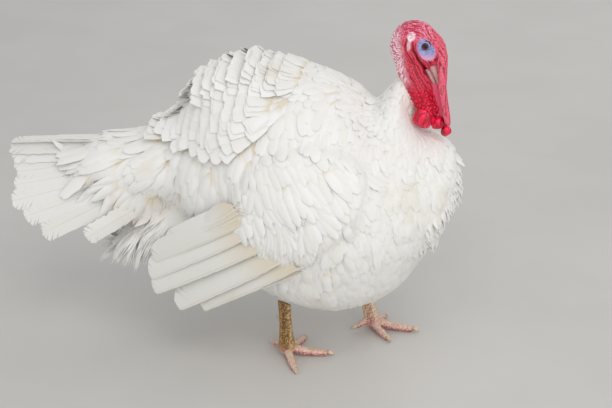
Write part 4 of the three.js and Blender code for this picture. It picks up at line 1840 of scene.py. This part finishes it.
@dataclass
class Quill:
    """A large stiff feather: a tapering shaft and vanes cut into locks of barbs. Sizes in mm."""

    root: Point
    tip: Point
    facing: Point
    width: float
    corner: float = 0.0
    bow: float = 4.0
    bare: float = 0.06
    barbs: int = 30
    across_points: int = 4
    thick: float = 0.7
    shaft: float = 1.7
    splits: int = 4
    gap: float = 4.5
    ragged: float = 2.6
    whole: float = 0.86
    camber: float = 3.0
    splay: float = 0.06

    def _outline(self, side: int) -> Array:
        """The vane's outline on one side, from its base to its tip.

        Args:
            side: 1 or -1.

        Returns:
            Places along and across the feather, in mm.
        """
        length = math.dist(self.root, self.tip)
        half = self.width / 2
        wide = half * (1 - 0.8 * self.corner * side)
        shoulder = length - half * (0.55 + 0.75 * max(0.0, -side * self.corner))
        turn = np.linspace(0, math.pi / 2, 9)[1:]
        rounded = shoulder + (length - shoulder) * np.sin(turn) ** 1.1
        curve = np.stack([rounded, wide * np.cos(turn) ** 0.75], axis=1)
        base = [(self.bare * length, 0.25 * wide), (0.16 * length, 0.75 * wide), (0.3 * length, 0.96 * wide)]
        run = [(0.55 * length, wide), (shoulder, wide * 0.98)]
        return np.concatenate([np.array(base + run), curve])

    def add_to(self, parts: MeshParts, rng: Rng) -> None:
        """Adds the feather's closed shapes.

        Args:
            parts: what gathers them.
            rng: the source of its splits.
        """
        root, tip = np.array(self.root, float), np.array(self.tip, float)
        length = float(np.linalg.norm(tip - root))
        lengthwise = (tip - root) / length
        across = unit(np.cross(lengthwise, np.array(self.facing, float)))
        normal = np.cross(across, lengthwise)
        chance = rng.random()

        def placed(along: Array, aside: Array) -> Array:
            """Points of the bowed vane.

            Args:
                along: how far from the root each is, in mm.
                aside: how far from the shaft.

            Returns:
                The points in metres.
            """
            bow = self.bow * np.sin(math.pi * np.clip(along / length, 0, 1))
            height = bow - self.camber * (aside / self.width * 2) ** 2
            flat = root + along[..., None] * lengthwise + aside[..., None] * across
            return (flat + height[..., None] * normal) * MM

        for side in (-1, 1):
            outline = self._outline(side)
            gone = np.concatenate([[0], np.cumsum(np.linalg.norm(np.diff(outline, axis=0), axis=1))])
            run = np.linspace(0, gone[-1] - 0.6, self.barbs + 1)
            tips = np.stack([np.interp(run, gone, outline[:, k]) for k in (0, 1)], axis=1)
            tips[:, 0] += self.ragged * rng.normal(0, 0.5, len(run)) * (run > 0.3 * gone[-1])
            tips[:, 1] += 0.6 * self.ragged * rng.normal(0, 0.5, len(run))
            tips[:, 1] = np.maximum(tips[:, 1], 0.4)
            feet = np.maximum(self.bare * length * 0.9, tips[:, 0] - 0.75 * tips[:, 1])
            feet = np.minimum(np.maximum.accumulate(feet), length * 0.995)
            near_tip = np.flatnonzero(tips[:, 0] > self.whole * length)
            cuts = rng.choice(near_tip[1:-1], min(self.splits, len(near_tip) - 2), replace=False)
            bounds = [0, *sorted(cuts), self.barbs]
            share = np.linspace(0, 1, self.across_points + 1)
            for first, last in zip(bounds[:-1], bounds[1:]):
                rows = np.arange(first, last + 1)
                shift = np.zeros((len(rows), 2))
                for row, way in ((0, 1), (-1, -1)):
                    if bounds[0] < rows[row] < bounds[-1]:
                        along_edge = unit(tips[min(rows[row] + 1, self.barbs)] - tips[rows[row] - 1])
                        shift[row] = along_edge * way * self.gap * rng.uniform(0.15, 0.5)
                parted = shift[:, None] * share[:, None] ** 3
                along = feet[rows, None] + (tips[rows, None, 0] - feet[rows, None]) * share**1.1
                along = along + parted[..., 0]
                aside = (tips[rows, None, 1] * share + parted[..., 1]) * side
                grid = placed(along, aside)
                up = np.broadcast_to(normal + across * side * self.splay, grid.shape)
                value = [along / length, aside / self.width * 2, np.full_like(along, chance)]
                value = np.stack(value, axis=-1)
                if side < 0:
                    grid, value = grid[::-1], value[::-1]
                parts.slab(grid, unit(up), self.thick * MM, value)
        run = np.linspace(-0.02, 0.985, 14) * length
        line = placed(run, np.zeros_like(run)) + normal * 0.35 * MM
        radii = self.shaft * MM * (1 - 0.82 * np.clip(run / length, 0, 1)) ** 0.9
        value = np.stack([np.full_like(run, 0.95), np.zeros_like(run), np.full_like(run, chance)], axis=-1)
        parts.tube(line, np.broadcast_to(normal, line.shape).copy(), radii, value)


@dataclass
class Tail:
    """The half-lowered fan of the tail, sixteen stiff feathers and a short outer pair. Sizes in mm."""

    middle_tip: tuple[float, float] = (-477, 406)
    outer_tip: Point = (-383, 110, 260)
    shortfall: tuple[float, ...] = (0, 8, 15, 17, 7, -12, -6, 0)
    outer_pair: tuple[Point, Point, float] = ((-170, 58, 330), (-290, 112, 258), 40)
    near: float = 0.06

    def _tip(self, v: float) -> Array:
        """The place of a feather's tip.

        Args:
            v: from -1 at the right to 1 at the left.

        Returns:
            The place in mm.
        """
        s = abs(v)
        x = self.middle_tip[0] + (self.outer_tip[0] - self.middle_tip[0]) * s**3.2
        z = self.middle_tip[1] + (self.outer_tip[2] - self.middle_tip[1]) * s**1.6
        return np.array([x, v * self.outer_tip[1], z])

    def build(self, side: Side, finish: Material) -> None:
        """Makes one half of the tail.

        Args:
            side: which half.
            finish: its material.
        """
        rng = np.random.default_rng(SEED + 10 + side.value)
        parts = MeshParts()
        for pair, short in enumerate(self.shortfall):
            share = (pair + 0.5) / (len(self.shortfall) - 0.5)
            u = side.value * share
            root = np.array([-176 + 26 * share, 34 * u, 428 - 56 * share**1.3])
            end = self._tip(u)
            run = self._tip(min(1, u + self.near)) - self._tip(max(-1, u - self.near))
            facing = unit(np.cross(run, end - root))
            lift = (1 - share) * 4.5 + 0.6 * (pair % 2)
            root, end = root + facing * lift, end + facing * lift
            end = end + unit(root - end) * short
            Quill(tuple(root), tuple(end), tuple(facing), 56 - 10 * share, barbs=34).add_to(parts, rng)
        root, end, width = self.outer_pair
        root, end = tuple(root * side.flip), tuple(end * side.flip)
        Quill(root, end, (-0.2, side.value, -0.1), width, splits=3).add_to(parts, rng)
        nodes = (f"tail_{side.word}", f"tail_outer_{side.word}")
        parts.piece(f"tail_quills_{side.word}", finish, "flight_feather", nodes)


@dataclass
class WingFeathers:
    """The long flight feathers of a folded wing. Sizes in mm."""

    blades: tuple[tuple[Point, Point, float], ...] = (
        ((44, 181, 398), (-58, 143, 298), 24),
        ((50, 183, 391), (-74, 141, 286), 26),
        ((57, 185, 384), (-92, 139, 274), 30),
        ((64, 186, 378), (-106, 138, 262), 42),
        ((74, 188, 366), (-136, 138, 232), 44),
        ((94, 190, 346), (-145, 139, 194), 48),
        ((120, 192, 320), (-138, 142, 162), 52),
        ((150, 194, 292), (-89, 147, 131), 50),
        ((176, 194, 276), (-38, 151, 136), 44),
        ((172, 180, 258), (50, 165, 188), 30),
    )
    layer: float = 1.2

    def build(self, side: Side, finish: Material) -> None:
        """Makes one wing's feathers.

        Args:
            side: which wing.
            finish: their material.
        """
        rng = np.random.default_rng(SEED + 20 + side.value)
        parts = MeshParts()
        for number, (root, tip, width) in enumerate(self.blades):
            out = np.array([0, self.layer * (len(self.blades) - number), 0])
            start, end = (np.array(place) + out for place in (root, tip))
            blade = Quill(
                tuple(start * side.flip), tuple(end * side.flip), (0.24, side.value, 0.2), width,
                corner=side.value, bow=5, splits=3, ragged=1.4, gap=3.5, shaft=1.6, camber=4.5,
            )
            blade.add_to(parts, rng)
        parts.piece(f"wing_quills_{side.word}", finish, "flight_feather", (f"wing_feathers_{side.word}",))


# ---- eyes, bill and claws


@dataclass
class Eye:
    """An eyeball with a bulging cornea, turned outwards. Sizes in mm."""

    radius: float = EYE_RADIUS - 0.2
    bulge: float = 0.7
    gaze_angle: float = 0.95

    def build(self, side: Side, effects: Effects) -> None:
        """Makes one eye.

        Args:
            side: the bird's side.
            effects: the shared node groups.
        """
        outward = unit(np.array([GAZE[0], side.value, GAZE[2]]))
        centre = on_head(np.array(EYE_PLACE)[None] * (1, side.value, 1))[0]
        bpy.ops.object.select_all(action="DESELECT")
        radius = self.radius * MM
        bpy.ops.mesh.primitive_uv_sphere_add(radius=radius, segments=48, ring_count=32, location=centre)
        eye = bpy.context.view_layer.objects.active
        eye.name = eye.data.name = f"eyeball_{side.word}"
        bpy.ops.object.transform_apply(location=True, rotation=True, scale=True)
        axis = turned(outward, HEAD_YAW)
        points = points_of(eye)
        away = unit(points - centre)
        turn = np.arccos(np.clip(away @ axis, -1, 1))
        rise = self.bulge * (1 - smoothstep(0.35, 0.85, turn))
        move_to(eye, points + away * rise[:, None] * MM)
        store(eye, "gaze", Kind.NUMBER, np.clip(turn / self.gaze_angle, 0, 1))
        finished(eye, EyeFinish().make(effects), (f"eye_{side.word}",))


@dataclass
class Horn:
    """Horny parts made fine: the bill's halves, the claws and the spurs."""

    name: str
    nodes: tuple[str, ...]
    slot: str
    near: Colour
    far: Colour
    streak: Colour
    voxel: float = 0.7
    ridge: float = 0.25
    foot_height: float = 0.1

    def build(self, effects: Effects) -> None:
        """Makes the piece.

        Args:
            effects: the shared node groups.
        """
        piece = node_copy(self.name, self.nodes)
        remeshed(piece, self.voxel, 5)
        points, edges = points_of(piece), edges_of(piece)
        normals = unit(relaxed(normals_of(piece), edges, 1))
        rings = folds(points / MM, (0.5, 0.1, -0.86), 4.2, 1.5)
        move_to(piece, points + normals * (self.ridge * (rings - 0.4))[:, None] * MM)
        ends = np.zeros(len(points))
        for node in self.nodes:
            low, high = (np.array(corner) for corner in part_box(node))
            inside = ((points > low - MM) & (points < high + MM)).all(1)
            run = (points - low) / np.maximum(high - low, 1e-6)
            long_way = int(np.argmax(high - low))
            is_claw = self.slot == "claw_horn" and high[2] < self.foot_height
            share = run[:, long_way] if is_claw else 1 - run[:, 2]
            ends = np.where(inside, np.clip(share, 0, 1), ends)
        store(piece, "end", Kind.NUMBER, ends)
        finish = HornFinish(self.name, self.near, self.far, self.streak)
        finished(piece, finish.make(effects), self.nodes)


# ---- legs


@dataclass
class Leg:
    """A scaly shank and its four toes in one skin. Sizes in mm."""

    side: Side
    foot: tuple[float, float]
    hock: Point
    upper: tuple[float, float]
    tones: tuple[Colour, ...]
    voxel: float = 1.3
    band: float = 7.2
    toe_band: float = 4.4
    toes: tuple[str, ...] = ("middle", "inner", "outer", "hind")

    def build(self, effects: Effects, solids: SolidMap) -> None:
        """Makes the leg.

        Args:
            effects: the shared node groups.
            solids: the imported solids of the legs.
        """
        word = self.side.word
        shank = f"shank_{word}"
        nodes = (shank, *(f"toe_{toe}_{word}" for toe in self.toes))
        leg = node_copy(f"leg_{word}", nodes)
        remeshed(leg, self.voxel, 5)
        points, edges = points_of(leg), edges_of(leg)
        normals = unit(relaxed(normals_of(leg), edges, 2))
        place = points / MM
        is_shank = relaxed((solids.owners(points) == solids.names.index(shank)).astype(float), edges, 8)
        ankle = np.array([*self.foot, 20.0])
        axis = unit(np.array(self.hock) - ankle)
        along = (place - ankle) @ axis
        facing = normals @ np.array([0.98, 0.0, 0.0])
        front, rear = smoothstep(0.2, 0.55, facing), smoothstep(-0.2, -0.6, facing)
        bands = self._bands(along + 1.6 * drift(place, 9), self.band)
        behind = self._bands(along + 2.5 + 1.6 * drift(place, 9), self.band * 0.8)
        mesh = cells(place, 3.9)
        reach = np.hypot(place[:, 0] - self.foot[0], place[:, 1] - self.foot[1])
        top = smoothstep(0.15, 0.5, normals[:, 2])
        plates = self._bands(reach + 0.8 * drift(place, 7), self.toe_band)
        of_shank = front * bands + rear * behind + (1 - front - rear) * mesh
        of_toe = top * plates + (1 - top) * mesh
        hollow = is_shank * of_shank + (1 - is_shank) * of_toe
        relief = is_shank * (1.0 * of_shank - 0.6) + (1 - is_shank) * (0.9 * of_toe - 0.55)
        floor = smoothstep(0.5, 3.0, place[:, 2])
        move_to(leg, points + normals * (relief * floor)[:, None] * MM)
        self._tints(leg, is_shank * smoothstep(*self.upper, along), normals, hollow)
        finished(leg, ScaleFinish().make(effects), nodes)

    @staticmethod
    def _bands(run: Array, width: float) -> Array:
        """Overlapping plates: each one stands out and dips at its edge."""
        share = np.mod(run / width, 1)
        return smoothstep(0.0, 0.28, share) * (1 - 0.35 * share)

    def _tints(self, leg: Piece, upper: Array, normals: Array, hollow: Array) -> None:
        """Stores the leg's colours.

        Args:
            leg: the leg.
            upper: how much of the shank's colour each vertex has.
            normals: the directions out of the skin.
            hollow: 0 in the grooves and 1 on the scales.
        """
        shank, front_highlight, spot, furrow = self.tones
        count = len(upper)
        tint = layered(
            everywhere(colour(222, 164, 158), count),
            (colour(216, 184, 160), smoothstep(0.2, 0.8, normals[:, 2])),
            (shank, upper),
            # painted highlight: the front of the shank is paler, as where light falls on it
            (front_highlight, upper * smoothstep(0.0, 0.8, normals[:, 0]) * 0.7),
        )
        fleck = layered(tint, (colour(236, 208, 190), 0.6 * (1 - upper)), (spot, upper))
        # painted shade: the grooves between the scales are darker
        groove = layered(everywhere(colour(168, 108, 98), count), (furrow, upper))
        store_tones(leg, tint, fleck, groove, np.clip(hollow, 0, 1))


# ---- studio


@dataclass(frozen=True)
class Lamp:
    """A soft square light that faces the bird: metres and watts."""

    name: str
    place: Point
    size: float
    power: float
    tone: Point = (1, 1, 1)

    def build(self, target: Point) -> None:
        """Adds the light.

        Args:
            target: what it faces.
        """
        data = bpy.data.lights.new(self.name, "AREA")
        data.shape, data.size, data.energy, data.color = "SQUARE", self.size, self.power, self.tone
        lamp = bpy.data.objects.new(self.name, data)
        bpy.context.scene.collection.objects.link(lamp)
        lamp.location = self.place
        lamp.visible_camera = False
        aim = Vector(target) - Vector(self.place)
        lamp.rotation_euler = aim.to_track_quat("-Z", "Y").to_euler()


@dataclass
class Studio:
    """The floor, the lights and the camera."""

    target: Point = (0.147, 0.0, 0.318)
    distance: float = 3.0
    azimuth: float = 10.0
    elevation: float = 25.0
    lens: float = 86.08
    sensor: float = 36.0
    floor_size: float = 30.0
    sky: Colour = colour(236, 238, 242)
    sky_strength: float = 0.66
    lamps: tuple[Lamp, ...] = (
        Lamp("key", (1.2, -2.3, 3.3), 2.6, 47, (1.0, 0.985, 0.96)),
        Lamp("fill", (2.2, -2.8, 1.1), 2.8, 26, (0.99, 0.99, 1.0)),
        Lamp("rim", (0.6, 3.0, 2.6), 2.4, 20),
        Lamp("low", (-1.9, -2.6, 0.9), 2.4, 12),
    )

    def build(self, effects: Effects) -> None:
        """Builds the studio.

        Args:
            effects: the shared node groups.
        """
        a, e = math.radians(self.azimuth), math.radians(self.elevation)
        back = Vector((math.sin(a) * math.cos(e), -math.cos(a) * math.cos(e), math.sin(e)))
        data = bpy.data.cameras.new("camera")
        data.lens, data.sensor_width = self.lens, self.sensor
        camera = bpy.data.objects.new("camera", data)
        bpy.context.scene.collection.objects.link(camera)
        camera.location = Vector(self.target) + back * self.distance
        camera.rotation_euler = (-back).to_track_quat("-Z", "Y").to_euler()
        bpy.context.scene.camera = camera
        bpy.ops.object.select_all(action="DESELECT")
        bpy.ops.mesh.primitive_plane_add(size=self.floor_size)
        floor = bpy.context.view_layer.objects.active
        floor.name = floor.data.name = "floor"
        floor.data.materials.append(FloorFinish().make(effects))
        for lamp in self.lamps:
            lamp.build(self.target)
        world = bpy.data.worlds.new("studio")
        world.use_nodes = True
        sky = world.node_tree.nodes["Background"]
        sky.inputs["Color"].default_value = self.sky
        sky.inputs["Strength"].default_value = self.sky_strength
        bpy.context.scene.world = world
        bpy.context.scene.view_settings.view_transform = "Standard"


# ---- main


def main() -> None:
    """Builds the bird from its skin outwards, and the studio round it."""
    logging.basicConfig(level=logging.INFO, format="%(message)s")
    effects = Effects()
    Studio().build(effects)
    body = Skin()
    flesh = SolidMap((*body.body_nodes, *body.head_nodes))
    skin = body.build(effects, flesh)
    # the quills' warm roots are painted shade under the coverts and neighbouring quills
    tail_finish = FeatherFinish(
        "quill", root=colour(226, 219, 202), end=colour(231, 230, 226), shaft=colour(229, 223, 207),
        warm_to=0.35, count=420, slant=0.12, depth=0.0002,
    )
    wing_tones = {"root": colour(225, 216, 196), "end": colour(230, 229, 224)}
    wing_finish = replace(tail_finish, name="wing_quill", warm_to=0.45, **wing_tones)
    tail_quill, wing_quill = tail_finish.make(effects), wing_finish.make(effects)
    for side in Side:
        Tail().build(side, tail_quill)
        WingFeathers().build(side, wing_quill)
        Eye().build(side, effects)
    Plumage(Ground(skin), flesh, effects).build()
    bill = (colour(212, 158, 162), colour(212, 178, 170), colour(182, 130, 134))
    Horn("bill", ("bill_upper", "bill_lower"), "bill_horn", *bill).build(effects)
    legs = SolidMap([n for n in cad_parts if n.startswith(("shank", "toe"))])
    # each leg: shank tone, painted highlight for its front, spots, and painted shade for its grooves
    brown = (colour(182, 142, 82), colour(212, 186, 140), colour(146, 106, 54), colour(92, 64, 36))
    cream = (colour(224, 200, 170), colour(234, 220, 198), colour(206, 172, 138), colour(168, 122, 100))
    Leg(Side.RIGHT, (119, -73), (114, -80, 172), (-14, 14), brown).build(effects, legs)
    Leg(Side.LEFT, (279, 71), (236, 78, 160), (-8, 26), cream).build(effects, legs)
    horn = (colour(204, 176, 150), colour(232, 216, 192), colour(150, 120, 96))
    for side in Side:
        ours = [n for n in sorted(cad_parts) if n.endswith(side.word)]
        nodes = tuple(n for n in ours if n.startswith(("claw", "spur")))
        Horn(f"claws_{side.word}", nodes, "claw_horn", *horn).build(effects)


if __name__ == "__main__":
    main()
